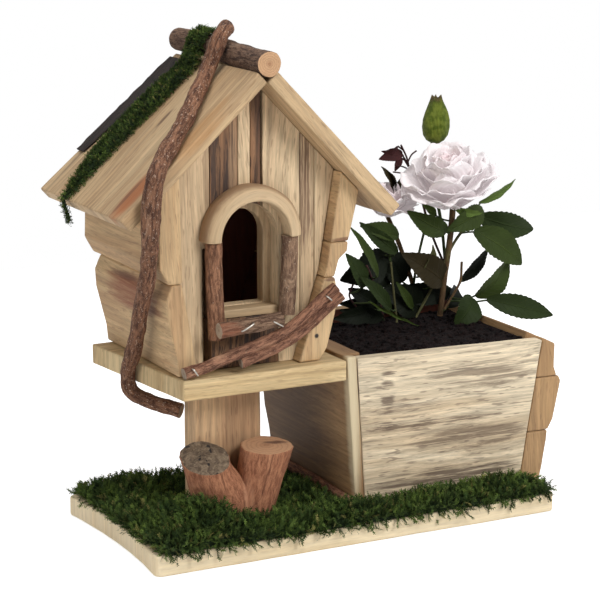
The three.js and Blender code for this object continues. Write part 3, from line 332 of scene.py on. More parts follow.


# Stained and shaded boards: timber, then patches of staining or of painted shade: colour, centre, direction,
# half length, half width, strength, fibres
stainedAndShaded = {
    "roof_left_front": (
        "roof",
        ((156, 92, 48), onRoof(92, 31), leftSlope, 24, 9, 0.95, 0.1),
        ((92, 58, 36), onRoof(97, 36), leftSlope, 15, 2.2, 0.8, 0.3),
        ((92, 62, 42), onRoof(44, 72.5), leftSlope, 8, 2, 0.9, 0.3),
        ((176, 128, 76), onRoof(46, 25), leftSlope, 26, 8, 0.6, 0.4),
    ),
    "roof_left_back": (
        "roof",
        ((132, 88, 54), onRoof(88, 112), leftSlope, 26, 4, 0.8, 0.3),
        ((70, 50, 38), onRoof(60, 129), leftSlope, 60, 2, 0.7, 0.2),
    ),
    "left_wall_lower": (
        "wall",
        ((128, 72, 44), (24, 78, 142), alongY, 40, 12, 0.95, 0.2),
        ((104, 60, 40), (24, 56, 137), alongY, 22, 4, 0.85, 0.3),
        ((92, 54, 36), (24, 92, 150), alongY, 24, 2.4, 0.8, 0.2),
    ),
    "left_wall_upper": (
        "wall",
        ((198, 150, 92), (22, 80, 190), alongY, 40, 10, 0.6, 0.3),
        ((112, 76, 52), (24, 60, 157), alongY, 34, 1.6, 0.8, 0.2),
    ),
    "right_wall_lower": (
        "wall",
        # A near-black dot of painted shade standing for a nail hole
        ((26, 18, 15), (115, 31, 117), alongY, 1.8, 1.5, 1, 0),
        ((96, 62, 44), (128, 31, 149), alongX, 9, 1.3, 0.8, 0),
    ),
    "right_wall_upper": ("wall", ((110, 72, 50), (132, 31, 171.5), alongX, 8, 1.5, 0.8, 0)),
    "gable_board_6": ("gablePale", ((100, 70, 52), (113, 40, 214), alongZ, 44, 9, 0.85, 0.8)),
    "gable_board_1": ("gablePale", ((140, 108, 80), (50, 40, 190), alongZ, 60, 3, 0.7, 0.7)),
    "gable_board_2": ("gableBrown", ((170, 138, 106), (68, 40, 222), alongZ, 50, 4, 0.7, 0.7)),
    "planter_front": (
        "limed",
        ((112, 94, 76), (226, 24, 84), alongX, 44, 9, 0.7, 1),
        ((96, 78, 62), (190, 24, 58), alongX, 44, 3, 0.85, 0.9),
        ((104, 86, 68), (220, 24, 46), alongX, 46, 8, 0.8, 1),
        ((92, 74, 60), (196, 24, 24), alongX, 52, 6, 0.85, 1),
        ((84, 66, 54), (158, 24, 82), alongZ, 22, 5, 0.8, 1),
        ((110, 92, 76), (172, 24, 68), alongX, 30, 6, 0.7, 1),
    ),
    "planter_left_wall": (
        "side",
        # A broad dark patch of painted shade: the back of this wall lies in the shade of the house and the
        # deck
        ((84, 60, 42), (136, 112, 50), alongY, 66, 90, 0.85, 0.15),
        ((208, 192, 158), (132, 21, 60), alongZ, 90, 9.5, 0.95, 0),
    ),
}
timberOf = {name: woodMaterial("timber", name, look) for name, look in timbers.items()}
for name, (wood, *stainsAndShades) in stainedAndShaded.items():
    timberOf[name] = woodMaterial("timber", name, timbers[wood], stainsAndShades)
print("timber finishes are made")

# Barks: skin, ridge, bare and fleck colours, then how worn they are and how many flecks they have
barks = {
    "branch": ((140, 100, 76), (70, 44, 34), (166, 128, 102), (208, 180, 158), 0.5, 0.9),
    "ridgeLog": ((124, 98, 80), (60, 42, 34), (152, 128, 108), (182, 160, 144), 0.5, 0.7),
    "jambLeft": ((160, 116, 88), (98, 66, 50), (188, 148, 116), (210, 184, 158), 0.45, 0.5),
    "jambRight": ((152, 122, 98), (94, 70, 56), (178, 148, 120), (214, 194, 170), 0.5, 0.7),
    "perch": ((144, 116, 94), (78, 56, 44), (168, 138, 114), (200, 178, 156), 0.5, 0.5),
    "strand": ((158, 114, 90), (84, 54, 42), (188, 146, 116), (204, 178, 154), 0.6, 0.5),
    "stump": ((176, 122, 90), (126, 80, 58), (192, 140, 106), (208, 166, 138), 0.6, 0.2),
    "roofBark": ((46, 36, 31), (22, 17, 16), (64, 50, 42), (72, 58, 50), 0.3, 0.2),
    "stem": ((112, 88, 60), (78, 58, 40), (92, 96, 54), (130, 104, 74), 0.5, 0.2),
    "greenStem": ((66, 80, 42), (46, 56, 32), (90, 94, 54), (90, 96, 60), 0.4, 0.1),
    "olive": ((98, 96, 62), (72, 70, 44), (112, 108, 72), (124, 118, 82), 0.4, 0.1),
    "redStem": ((70, 42, 40), (46, 28, 28), (90, 58, 48), (98, 64, 58), 0.4, 0.1),
}
barkStains = {
    "perch": [((146, 90, 66), (53, 22, 127), alongX, 12, 6, 0.7, 0.4)],
    "stump": [
        ((208, 156, 122), (66, 22, 30), alongZ, 16, 4, 0.6, 0.3),
        ((120, 70, 52), (90, 18, 34), alongZ, 20, 4, 0.6, 0.3),
    ],
}
barkOf = {name: woodMaterial("bark", name, look, barkStains.get(name, ())) for name, look in barks.items()}

# Sawn ends: pale, ring and heart colours, and the radius
cutEnds = {
    "pale": ((190, 150, 112), (142, 102, 72), (160, 118, 84), 0.007),
    "grey": ((176, 156, 134), (128, 106, 88), (140, 116, 96), 0.004),
    "stump": ((182, 140, 106), (142, 100, 72), (164, 120, 88), 0.0145),
}
# A dark mark on the stump's cut top: painted shade standing for a recess there
cutShades = {"stump": [((84, 54, 40), (89.5, 33.5, 57), (1, -0.35, 0.02), 8, 2.4, 0.9, 0.2)]}
cutOf = {name: woodMaterial("sawn", name, look, cutShades.get(name, ())) for name, look in cutEnds.items()}
print("bark finishes are made")


# A finished piece of the visual model, in the place of the nodes that it replaces
def addPiece(shape, name, materials, replaced, smooth=False):
    mesh = meshOf(shape, name)
    for material in materials:
        mesh.materials.append(material)
    mesh.polygons.foreach_set("use_smooth", [smooth] * len(mesh.polygons))
    piece = addObject(name, mesh)
    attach(piece, "root")
    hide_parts(*replaced)
    return piece


def layerOf(shape, name):
    layers = shape.verts.layers.float_vector
    return layers.get(name) or layers.new(name)


def markGrain(shape, along, shift):
    layer = shape.loops.layers.float_vector.new("grain")
    along = Vector(along).normalized()
    up = Vector((0, 0, 1)) if abs(along.z) < 0.9 else Vector((0, 1, 0))
    side = along.cross(up).normalized()
    up = side.cross(along)
    shape.normal_update()
    for face in shape.faces:
        sawn = abs(face.normal.dot(along)) > 0.75 and abs(along.z) < 0.9
        for loop in face.loops:
            co = loop.vert.co
            run, wide, tall = co.dot(along) + shift, co.dot(side) - shift, co.dot(up) + shift / 2
            loop[layer] = Vector((tall, wide, run) if sawn else (run, wide, tall))


# A copy of a node's mesh, merged
def copyOf(name):
    shape = bmesh.new()
    shape.from_mesh(nodes[name].data)
    bmesh.ops.remove_doubles(shape, verts=shape.verts, dist=0.01 * mm)
    bmesh.ops.dissolve_limit(shape, angle_limit=math.radians(1.5), verts=shape.verts, edges=shape.edges)
    return shape


def splitEdges(shape, longest, step):
    for edge in [e for e in shape.edges if e.calc_length() > longest * mm]:
        bmesh.ops.bisect_edges(shape, edges=[edge], cuts=int(edge.calc_length() / (step * mm)))


def roundEdges(shape, angle, offset, clamp):
    least = math.radians(angle)
    sharp = [e for e in shape.edges if len(e.link_faces) == 2 and e.calc_face_angle(0) > least]
    how = {"offset": offset * mm, "offset_type": "OFFSET", "affect": "EDGES", "segments": 2, "profile": 0.5}
    bmesh.ops.bevel(shape, geom=sharp, material=-1, clamp_overlap=clamp, **how)


def joinRings(shape, low, high, index=0):
    for k in range(len(low)):
        around = (k + 1) % len(low)
        shape.faces.new((low[k], low[around], high[around], high[k])).material_index = index


# Inner faces in shadow: the way that they face, and how far they run from front to back
innerFaces = {
    "left_wall_lower": (alongX, 51, 122), "left_wall_upper": (alongX, 51, 122),
    "right_wall_lower": ((-1, 0, 0), 51, 122), "right_wall_middle": ((-1, 0, 0), 51, 122),
    "right_wall_upper": ((-1, 0, 0), 51, 122),
    "back_panel": ((0, -1, 0), 50, 140), "planter_back": ((0, -1, 0), 110, 140),
}
boardForm = {"longest": 9, "step": 6, "wave": 0.25, "angle": 24, "shift": 0.173}


# A board of the frame with worn edges: the edges are split, moved a little and rounded
def addBoard(name, wood, slot, along, edge, shift):
    shape = copyOf(name)
    splitEdges(shape, boardForm["longest"], boardForm["step"])
    for vert in shape.verts:
        vert.co += noise.noise_vector(vert.co * 55 + Vector((shift, 0, 0))) * boardForm["wave"] * mm
    roundEdges(shape, boardForm["angle"], edge, True)
    facing, start, end = innerFaces.get(name, ((0, 0, 0), 0, 0))
    for reach in {start, end} - {0}:
        geometry = [*shape.verts, *shape.edges, *shape.faces]
        bmesh.ops.bisect_plane(shape, geom=geometry, plane_co=spot(0, reach, 0), plane_no=alongY)
    markGrain(shape, along, shift)
    for face in shape.faces:
        depth = (face.calc_center_median() - home).y / mm
        if face.normal.dot(Vector(facing)) > 0.6 and start < depth < end:
            face.material_index = 1
    materials = [timberOf[name if name in stainedAndShaded else wood], timberOf["shadow"]]
    return addPiece(shape, name + "_wood", materials, [name])


# Boards in order: timber, slot, way of the fibres, rounding of the edges, nodes
boards = [
    ("base", "base_wood", alongX, 1.1, "base_board"),
    ("deck", "deck_wood", alongX, 0.9, "deck_board"),
    ("post", "post_wood", alongZ, 0.8, "post"),
    ("wall", "wall_wood", alongY, 1.3, "left_wall_lower left_wall_upper"),
    ("wall", "wall_wood", alongY, 1.1, "right_wall_lower right_wall_middle right_wall_upper"),
    ("gablePale", "gable_pale_wood", alongZ, 0.6, "gable_board_1"),
    ("gableBrown", "gable_brown_wood", alongZ, 0.6, "gable_board_2"),
    ("gablePale", "gable_pale_wood", alongZ, 0.6, "gable_board_3"),
    ("gableBrown", "gable_brown_wood", alongZ, 0.6, "gable_board_4"),
    ("gablePale", "gable_pale_wood", alongZ, 0.6, "gable_board_5"),
    ("gablePale", "gable_brown_wood", alongZ, 0.6, "gable_board_6"),
    ("gablePale", "gable_pale_wood", alongZ, 0.6, "gable_board_7"),
    ("gableBrown", "gable_brown_wood", alongZ, 0.5, "door_apron"),
    ("arch", "gable_pale_wood", alongX, 0.6, "door_sill"),
    ("arch", "panel_wood", alongZ, 0.8, "front_panel"),
    ("wall", "wall_wood", alongZ, 0.6, "back_panel"),
    ("roof", "roof_wood", leftSlope, 1.0, "roof_left_front roof_left_back"),
    ("roof", "roof_wood", rightSlope, 1.0, "roof_right_front roof_right_back"),
    ("limed", "planter_front_wood", alongX, 0.7, "planter_front"),
    ("side", "planter_side_wood", alongY, 0.9, "planter_left_wall"),
    ("side", "planter_side_wood", alongY, 1.0, "planter_right_wall_lower planter_right_wall_middle"),
    ("side", "planter_side_wood", alongY, 1.0, "planter_right_wall_upper"),
    ("inner", "planter_inner_wood", alongX, 0.8, "planter_back"),
    ("inner", "planter_inner_wood", alongX, 0.5, "planter_floor"),
]
plans = [(name, plan) for *plan, names in boards for name in names.split()]
for count, (name, plan) in enumerate(plans):
    addBoard(name, *plan, count * boardForm["shift"])
print("boards are made")


# A smooth route through points, evenly stepped
def route(points, step):
    points = [Vector(p) for p in points]
    ends = [points[0] * 2 - points[1], *points, points[-1] * 2 - points[-2]]
    dense = []
    for a, b, c, d in zip(ends, ends[1:], ends[2:], ends[3:]):
        t1 = (b - a).length ** 0.5
        t2 = t1 + (c - b).length ** 0.5
        t3 = t2 + (d - c).length ** 0.5
        for i in range(12):
            t = mix(t1, t2, i / 12)
            p = (t1 - t) / t1 * a + t / t1 * b
            q = (t2 - t) / (t2 - t1) * b + (t - t1) / (t2 - t1) * c
            r = (t3 - t) / (t3 - t2) * c + (t - t2) / (t3 - t2) * d
            m = (t2 - t) / t2 * p + t / t2 * q
            n = (t3 - t) / (t3 - t1) * q + (t - t1) / (t3 - t1) * r
            dense.append((t2 - t) / (t2 - t1) * m + (t - t1) / (t2 - t1) * n)
    dense.append(points[-1])
    lengths = [0]
    for a, b in zip(dense, dense[1:]):
        lengths.append(lengths[-1] + (b - a).length)
    count = max(2, round(lengths[-1] / step))
    even, k = [], 0
    for i in range(count + 1):
        want = lengths[-1] * i / count
        while k < len(dense) - 2 and lengths[k + 1] < want:
            k += 1
        share = (want - lengths[k]) / max(lengths[k + 1] - lengths[k], 1e-9)
        even.append(dense[k].lerp(dense[k + 1], share))
    return even


# Twigs: rings along a route; rough is the share of the radius that the bark rises and falls by
def twigShape(
    points, radius, sides=14, step=1.6, rough=0.07, knots=(), ends=(1, 1), shift=0.0, shape=None,
    capInset=0.16,
):
    path = route(points, step)
    shape = shape or bmesh.new()
    grain, cut = layerOf(shape, "grain"), layerOf(shape, "cut")
    rings, run, side = [], 0, None
    for i, centre in enumerate(path):
        ahead = (path[min(i + 1, len(path) - 1)] - path[max(i - 1, 0)]).normalized()
        side = side or ahead.orthogonal().normalized()
        side = (side - ahead * side.dot(ahead)).normalized()
        other = ahead.cross(side)
        run += (centre - path[i - 1]).length if i else 0
        share = i / (len(path) - 1)
        girth = radius * mix(*ends, share)
        for at, swell, reach in knots:
            girth *= 1 + swell * math.exp(-(((share - at) / reach) ** 2))
        turn = Matrix((side, other, ahead)).transposed().to_4x4()
        turn.translation = spot(*centre)
        ring = bmesh.ops.create_circle(shape, segments=sides, radius=girth * mm, matrix=turn)["verts"]
        for vert in ring:
            out = (vert.co - turn.translation) / (girth * mm)
            wide, tall = out.dot(side), out.dot(other)
            flat = Vector((run * 0.12 + shift * 7, wide * 1.7, tall * 1.7))
            vert.co += out * noise.fractal(flat, 1.0, 2.0, 3) * rough * girth * mm
            vert[grain] = Vector((run * mm + shift, wide * girth * mm, tall * girth * mm))
        if rings:
            joinRings(shape, rings[-1], ring)
        rings.append(ring)
    for ring in (list(reversed(rings[0])), rings[-1]):
        face = shape.faces.new(ring)
        middle = face.calc_center_median()
        bmesh.ops.inset_region(shape, faces=[face], thickness=radius * capInset * mm, use_even_offset=True)
        for vert in face.verts:
            vert[cut] = vert.co - middle
        face.material_index = 1
    return shape


def addTwig(name, slot, points, radius, bark, end="grey", **how):
    shape = twigShape(points, radius, **how)
    bmesh.ops.recalc_face_normals(shape, faces=shape.faces)
    return addPiece(shape, name + "_bark", [barkOf[bark], cutOf[end]], [name], smooth=True)


twigs = {
    "climbing_branch": {
        "slot": "twig_bark", "bark": "branch", "radius": 4.7, "sides": 18, "rough": 0.14, "step": 1.4,
        "points": [
            (81.4, 77.3, 289.6), (74.6, 67.6, 288.5), (69.8, 62.7, 284.6), (61.9, 61.1, 268.5),
            (52.8, 52.2, 260.2), (38, 38, 246.5), (26.4, 29.1, 236), (15.2, 21, 225.7), (9.2, 13.7, 220.2),
            (7.6, 13.7, 215.1), (6.1, 13.7, 208.4), (5.8, 13.7, 201.8), (5.4, 14, 192.3), (10, 26.3, 175.7),
            (12, 35.1, 159.5), (14, 47.1, 142.3), (15, 56.2, 125.5), (16.6, 67.5, 109.4), (17.7, 77, 97.3),
            (19.3, 77, 85.6), (27.7, 69.2, 80.2), (41.2, 56, 76),
        ],
        "knots": [
            (0.25, 0.16, 0.012), (0.45, 0.22, 0.07), (0.33, 0.1, 0.02), (0.63, 0.12, 0.02),
            (0.8, 0.1, 0.02),
        ],
        "ends": (0.98, 0.9),
    },
    "ridge_log": {
        "slot": "grey_bark", "bark": "ridgeLog", "radius": 7, "end": "pale", "sides": 22, "rough": 0.05,
        "points": [
            (78.8, 17.8, 275.2), (79.4, 50.8, 275.6), (79.9, 78.3, 277.1), (78.6, 100.3, 278.4),
            (74.7, 127.8, 279.1),
        ],
        "knots": [(0.3, 0.08, 0.05), (0.62, 0.08, 0.04)], "ends": (1, 0.94),
    },
    "left_jamb_twig": {
        "slot": "twig_bark", "bark": "jambLeft", "radius": 4.8, "rough": 0.07, "step": 1.2,
        "points": [(52.2, 34.9, 176.2), (52.6, 34.9, 154.1), (54.2, 34.9, 121)],
    },
    "right_jamb_twig": {
        "slot": "twig_bark", "bark": "jambRight", "radius": 4.8, "rough": 0.07, "step": 1.2,
        "points": [(99.8, 34.9, 176.2), (99.4, 34.9, 158.1), (97.8, 34.9, 131)], "shift": 0.2,
    },
    "upper_perch_twig": {
        "slot": "grey_bark", "bark": "perch", "radius": 4.3, "rough": 0.12, "step": 1.1,
        "points": [(50.8, 25.5, 128.1), (69.8, 25.5, 129), (89.7, 25.5, 130.7)], "shift": 0.4,
    },
    "lower_perch_strand_1": {
        "slot": "twig_bark", "bark": "strand", "radius": 3.35, "rough": 0.14, "step": 1.1,
        "points": [
            (29.1, 25.5, 105.9), (45, 25.5, 109), (57.3, 25.5, 112.7), (69.8, 25.5, 116.2),
            (82.4, 25.5, 119.7), (94.9, 25.5, 124.9), (104.5, 25.5, 131), (114.1, 25.5, 138.3),
            (124.4, 25.5, 145.5),
        ],
        "shift": 0.6,
    },
    "lower_perch_strand_2": {
        "slot": "twig_bark", "bark": "strand", "radius": 3.3, "rough": 0.14, "step": 1.1,
        "points": [
            (63.9, 25.5, 108.4), (78.9, 25.5, 112.4), (95.1, 25.5, 118.4), (107.9, 25.5, 126.1),
            (119.5, 25.5, 134.9), (127.8, 25.5, 140.6),
        ],
        "shift": 0.8,
    },
    "planter_side_twig": {
        "slot": "twig_bark", "bark": "strand", "radius": 3, "rough": 0.1,
        "points": [(133.4, 12, 16.9), (133.4, 66.4, 19), (133.4, 127, 19)], "shift": 1.1,
    },
}
for name, how in twigs.items():
    addTwig(name, **how)
print("twigs are made")

# Wire staples in the perch twigs: the two feet of each, and the twig's radius
staples = {"wire": 0.5, "stand": 0.9, "feet": [
    ((62.8, 25.5, 127.5), (70.2, 25.5, 131.3), 4.3), ((82.8, 25.5, 130.7), (88.4, 25.5, 127.5), 4.3),
    ((33.1, 25.5, 109), (36, 25.5, 104.9), 3.4), ((116.6, 25.5, 141.7), (119.6, 25.5, 139.1), 3.4),
]}


def makeSteel():
    material, tree, surface = newMaterial("staple_steel", 0.3)
    grime = noiseOf(place(tree), 900)
    finish(surface, tint(grime, paint(132, 126, 118), paint(196, 190, 180)))
    fill(surface, {"Metallic": 1, "Roughness": grime * 0.4 + 0.15})
    return material


steel = makeSteel()
for count, (start, end, radius) in enumerate(staples["feet"]):
    start, end = Vector(start), Vector(end)
    out = Vector((0, -radius - staples["stand"], 0))
    points = [start + out * 0.55, start + out * 0.86, start.lerp(end, 0.12) + out]
    points += [start.lerp(end, 0.88) + out, end + out * 0.86, end + out * 0.55]
    shape = twigShape(points, staples["wire"], sides=8, step=0.5, rough=0, capInset=0.1)
    bmesh.ops.recalc_face_normals(shape, faces=shape.faces)
    name = f"staple_{count + 1}"
    addPiece(shape, name + "_wire", [steel, steel], [name], smooth=True)


# Door arch: half a ring with a rounded outer front edge; its fibres run round the ring
arch = {
    "centre": (76, 176.5), "inner": 21.5, "face": 1.8, "outer": 30.6, "front": 28.2, "round": 7,
    "back": 39.7, "edge": 0.8,
}


def makeArchMaterial():
    material, tree, surface = newMaterial("timber_door_arch", 0.72)
    grain = attribute(tree, "grain")
    made = useFinish("timber", grain, (*timbers["arch"][:3], 0.8, 0.2, 0.35))
    ragged = noiseOf(grain, 260, 4, 0.7, along=0.3) * 0.004
    rim = between(parts(grain)[1] + ragged, 0.0298, 0.0322)
    finish(surface, tint(rim * 0.75, made["Color"], paint(136, 104, 76)), made["Height"], 0.0004)
    return material


def addArch():
    shape = bmesh.new()
    layer = layerOf(shape, "grain")
    inner, outer, front = arch["inner"], arch["outer"], arch["front"]
    corners = [(inner, arch["back"]), (inner, front), (inner + arch["face"], front)]
    for i in range(1, 7):
        turn = math.radians(15 * i)
        reach = mix(inner + arch["face"], outer, math.sin(turn))
        corners.append((reach, front + arch["round"] * (1 - math.cos(turn))))
    corners.append((outer, arch["back"]))
    across, up = arch["centre"]
    face = shape.faces.new([shape.verts.new(spot(across + r, y, up)) for r, y in corners])
    middle = spot(across, 0, up)
    section = [face, *face.edges, *face.verts]
    bmesh.ops.spin(shape, geom=section, cent=middle, axis=(0, -1, 0), angle=math.pi, steps=44)
    bmesh.ops.remove_doubles(shape, verts=shape.verts, dist=0.01 * mm)
    bmesh.ops.recalc_face_normals(shape, faces=shape.faces)
    roundEdges(shape, 40, arch["edge"], False)
    for vert in shape.verts:
        away = vert.co - middle
        vert[layer] = Vector((math.atan2(away.z, away.x) * 0.026 + 2.3, math.hypot(away.x, away.z), away.y))
        vert.co += noise.noise_vector(vert.co * 60) * 0.4 * mm
    return addPiece(shape, "door_arch_wood", [makeArchMaterial()], ["door_arch"], smooth=True)


addArch()
print("door is made")


# Stump and knotty limb: thick stubs with ridged bark, sawn off by a plane
def makeKnotFace():
    material, tree, surface = newMaterial("knotty_face", 0.85)
    cut = attribute(tree, "cut")
    cells = {"Vector": cut, "Scale": 260, "Randomness": 1}
    lumps = put("ShaderNodeTexVoronoi", cells, "Distance", feature="SMOOTH_F1")
    grit = noiseOf(cut, 900, 5, 0.75)
    swirl = noiseOf(cut, 240, 4, 0.6, 1.5)
    base = tint(between(swirl, 0.35, 0.65), paint(84, 66, 50), paint(146, 126, 102))
    dirty = tint(between(grit, 0.45, 0.6) * 0.5, base, paint(92, 76, 62))
    # The holes are near black: painted shade in the pits, along with a bump that sinks them
    holes = between(noiseOf(cut, 300, 1, 0.4), 0.37, 0.31)
    finish(surface, tint(holes, dirty, paint(34, 26, 22)), lumps + grit - holes * 1.5, 0.0012)
    return material


stubs = {
    "stump": {
        "foot": (72, 31, 11.8), "head": (83, 31, 56.2), "radii": (11, 14.2),
        "normal": (-0.006, -0.105, 0.995), "rough": 0.1, "web": 0, "dome": 0, "slot": "stump_wood",
    },
    "knotty_limb": {
        "foot": (56, 32, 11.8), "head": (44.5, 32, 53.4), "radii": (12, 13.6),
        "normal": (-0.15, -0.41, 0.9), "rough": 0.07, "web": 6, "dome": 2.2, "slot": "knot_wood",
    },
}
stubForm = {"sides": 48, "rings": 34, "cap": (0.975, 0.93, 0.84, 0.72, 0.6, 0.48, 0.36, 0.24, 0.12)}


def addStub(name, foot, head, radii, normal, rough, web, dome, slot):
    shape = bmesh.new()
    grain, cut = layerOf(shape, "grain"), layerOf(shape, "cut")
    foot, head, normal = Vector(foot), Vector(head), Vector(normal).normalized()
    axis, shift = (head - foot).normalized(), len(name) * 0.1
    side = (Vector(alongX) - axis * axis.x).normalized()
    other = axis.cross(side)
    rings = []
    for i in range(stubForm["rings"] + 1):
        share = i / stubForm["rings"]
        radius = mix(*radii, share)
        ring = bmesh.ops.create_circle(shape, segments=stubForm["sides"], radius=mm)["verts"]
        for k, vert in enumerate(ring):
            turn = 2 * math.pi * k / stubForm["sides"]
            east, north = math.cos(turn), math.sin(turn)
            out = side * east + other * north
            flat = Vector((share * 1.2 + shift, east * 2.6, north * 2.6))
            swell = radius * (noise.fractal(flat, 0.8, 2, 4) * rough + 0.06 * math.exp(-share * 7))
            swell += web * max(0, out.x) * math.sin(math.pi * min(1, share * 1.15))
            low, high = foot + out * radii[0], head + out * radii[1]
            low -= axis * ((low.z - foot.z) / axis.z)
            high += axis * ((head - high).dot(normal) / axis.dot(normal))
            vert.co = spot(*(low.lerp(high, share) + out * swell))
            run = share * (head - foot).length * mm + shift
            vert[grain] = Vector((run, east * radius * mm, north * radius * mm))
        if rings:
            joinRings(shape, rings[-1], ring)
        rings.append(ring)
    shape.faces.new(list(reversed(rings[0])))
    middle = spot(*head)
    last = rings[-1]
    for number, share in enumerate(stubForm["cap"]):
        ring = bmesh.ops.create_circle(shape, segments=stubForm["sides"], radius=mm)["verts"]
        for vert, rim in zip(ring, rings[-1]):
            vert.co = middle + (rim.co - middle) * share
            lumps = noise.fractal(vert.co * 240, 1, 2, 3) * (1.5 if dome else 0.25) * (1 - share ** 6)
            vert.co += normal * (0.35 + dome * (1 - share * share) + lumps) * mm
            vert[cut] = vert.co - middle
            vert[grain] = rim[grain]
        joinRings(shape, last, ring, 1 if number else 0)
        last = ring
    shape.faces.new(last).material_index = 1
    bmesh.ops.recalc_face_normals(shape, faces=shape.faces)
    face = makeKnotFace() if dome else cutOf["stump"]
    return addPiece(shape, name + "_bark", [barkOf["stump"], face], [name], smooth=True)


for name, stub in stubs.items():
    addStub(name, **stub)
print("stump is made")


# Dark bark on the roof's back edge: a thin strip with a torn inner edge
def addRoofBark():
    shape = copyOf("roof_bark_strip")
    splitEdges(shape, 6, 3)
    for vert in shape.verts:
        wave = noise.noise_vector(vert.co * 220)
        vert.co += Vector((wave.x, min(wave.y, 0), wave.z * 0.2)) * 0.9 * mm
    markGrain(shape, leftSlope, 3.1)
    return addPiece(shape, "roof_bark_strip_bark", [barkOf["roofBark"]], ["roof_bark_strip"])


addRoofBark()

# Soil: a finely cut top with crumbs strewn over it
soil = {"cells": 70, "rise": 1.1, "crumbs": 420, "crumbSize": (0.5, 1.5)}


def makeSoilMaterial():
    material, tree, surface = newMaterial("soil_crumbs", 0.95, 0.15)
    where = place(tree)
    grit = noiseOf(where, 700, 6, 0.8)
    lumps = noiseOf(where, 220, 4, 0.7)
    base = tint(between(grit, 0.35, 0.7), paint(14, 7, 7), paint(36, 23, 21))
    finish(surface, tint(between(lumps, 0.55, 0.4), base, paint(9, 4, 5)), grit + lumps, 0.0015)
    return material


def addSoil():
    dice = random.Random(4)
    shape = copyOf("planter_soil")
    low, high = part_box("planter_soil")
    top = max(shape.faces, key=lambda f: f.calc_center_median().z)
    bmesh.ops.delete(shape, geom=[top], context="FACES")
    rim = [v.co.copy() for v in shape.verts if v.co.z > high.z - 0.5 * mm]
    x0, x1 = min(v.x for v in rim), max(v.x for v in rim)
    y0, y1 = min(v.y for v in rim), max(v.y for v in rim)
    cells = soil["cells"]
    grid = bmesh.ops.create_grid(shape, x_segments=cells, y_segments=cells, size=0.5)["verts"]
    for vert in grid:
        u, v = vert.co.x + 0.5, vert.co.y + 0.5
        x, y = mix(x0, x1, u), mix(y0, y1, v)
        calm = min(1, 60 * min(u, 1 - u, v, 1 - v))
        rise = noise.fractal(Vector((x, y, 0)) * 260, 0.8, 2, 5) * calm * soil["rise"] * mm
        vert.co = Vector((x, y, high.z + rise))
    bmesh.ops.remove_doubles(shape, verts=shape.verts, dist=0.02 * mm)
    for i in range(soil["crumbs"]):
        size = dice.uniform(*soil["crumbSize"]) * mm
        across, deep = dice.uniform(x0 + 2 * mm, x1 - 2 * mm), dice.uniform(y0 + 2 * mm, y1 - 2 * mm)
        at = Vector((across, deep, high.z + size * 0.3))
        spin = Matrix.Rotation(dice.uniform(0, 6), 4, Vector((1, 1, dice.random())))
        turn = Matrix.Translation(at) @ spin
        crumb = bmesh.ops.create_icosphere(shape, subdivisions=1, radius=size, matrix=turn)["verts"]
        for vert in crumb:
            vert.co += (vert.co - at) * noise.noise(vert.co * 900) * 0.9
    return addPiece(shape, "planter_soil_crumbs", [soilMaterial], ["planter_soil"])


soilMaterial = makeSoilMaterial()
addSoil()
nodes["planter_foam"].data.materials.clear()
nodes["planter_foam"].data.materials.append(soilMaterial)
print("soil is made")


# Moss: sprigs of small leaflets; the sprig attribute is (reach from root to tip, shade)
def makeMossMaterial():
    material, tree, surface = newMaterial("moss_sprigs", 0.9, 0.2)
    reach, shade = parts(attribute(tree, "sprig"))[:2]
    clumps = noiseOf(place(tree), 85, 4, 0.65)
    # Towards the root the sprigs turn near black: partly the lower stems' own darker colour, partly painted
    # shade deep in the bed
    deep = tint(shade, paint(14, 24, 10), paint(30, 44, 18))
    fresh = tint(shade, paint(52, 76, 32), paint(116, 138, 62))
    dry = tint(between(shade, 0.93, 0.97), fresh, paint(156, 148, 86))
    finish(surface, tint(between(clumps, 0.56, 0.42) * 0.6, tint(reach, deep, dry), paint(18, 32, 16)))
    return material


mossMaterial = makeMossMaterial()
moss = {"variants": 8, "leaflets": 7, "length": 7.5, "leaf": 1.7, "width": 0.75, "stem": 0.3}


def sprigMesh(seed):
    dice = random.Random(seed)
    shape = bmesh.new()
    layer = layerOf(shape, "sprig")
    length, bend = moss["length"] * mm, dice.uniform(0.4, 1.6)
    stem, last = [], None
    for i in range(moss["leaflets"] + 1):
        share = i / moss["leaflets"]
        turn = bend * share
        sway = 0.12 * math.sin(share * 5 + seed)
        at = Vector((math.sin(turn) / bend, sway, (1 - math.cos(turn)) / bend)) * length
        stem.append((share, at, Vector((math.cos(turn), 0, math.sin(turn)))))
        pair = [shape.verts.new(at + Vector((0, side * moss["stem"] * mm, 0))) for side in (-1, 1)]
        for vert in pair:
            vert[layer] = Vector((share * 0.6, 0, 0))
        if last:
            shape.faces.new((last[0], *pair, last[1]))
        last = pair
    for share, at, ahead in stem[1:]:
        for side in (-1, 1):
            out = (ahead * dice.uniform(0.4, 0.9) + Vector((0, side, dice.uniform(-0.3, 0.6)))).normalized()
            size = moss["leaf"] * mm * mix(1.15, 0.6, share) * dice.uniform(0.75, 1.25)
            wide = ahead * moss["width"] * mm * 0.5
            middle = at + out * size * 0.5 + Vector((0, 0, 0.2 * mm))
            corners = [shape.verts.new(p) for p in (at, middle - wide, at + out * size, middle + wide)]
            for vert, bright in zip(corners, (0.3, 0.65, 1, 0.65)):
                vert[layer] = Vector((min(1, share * 0.5 + bright * 0.55), 0, 0))
            shape.faces.new(corners)
    return meshOf(shape, "sprig")


sprigs = [sprigMesh(i) for i in range(moss["variants"])]


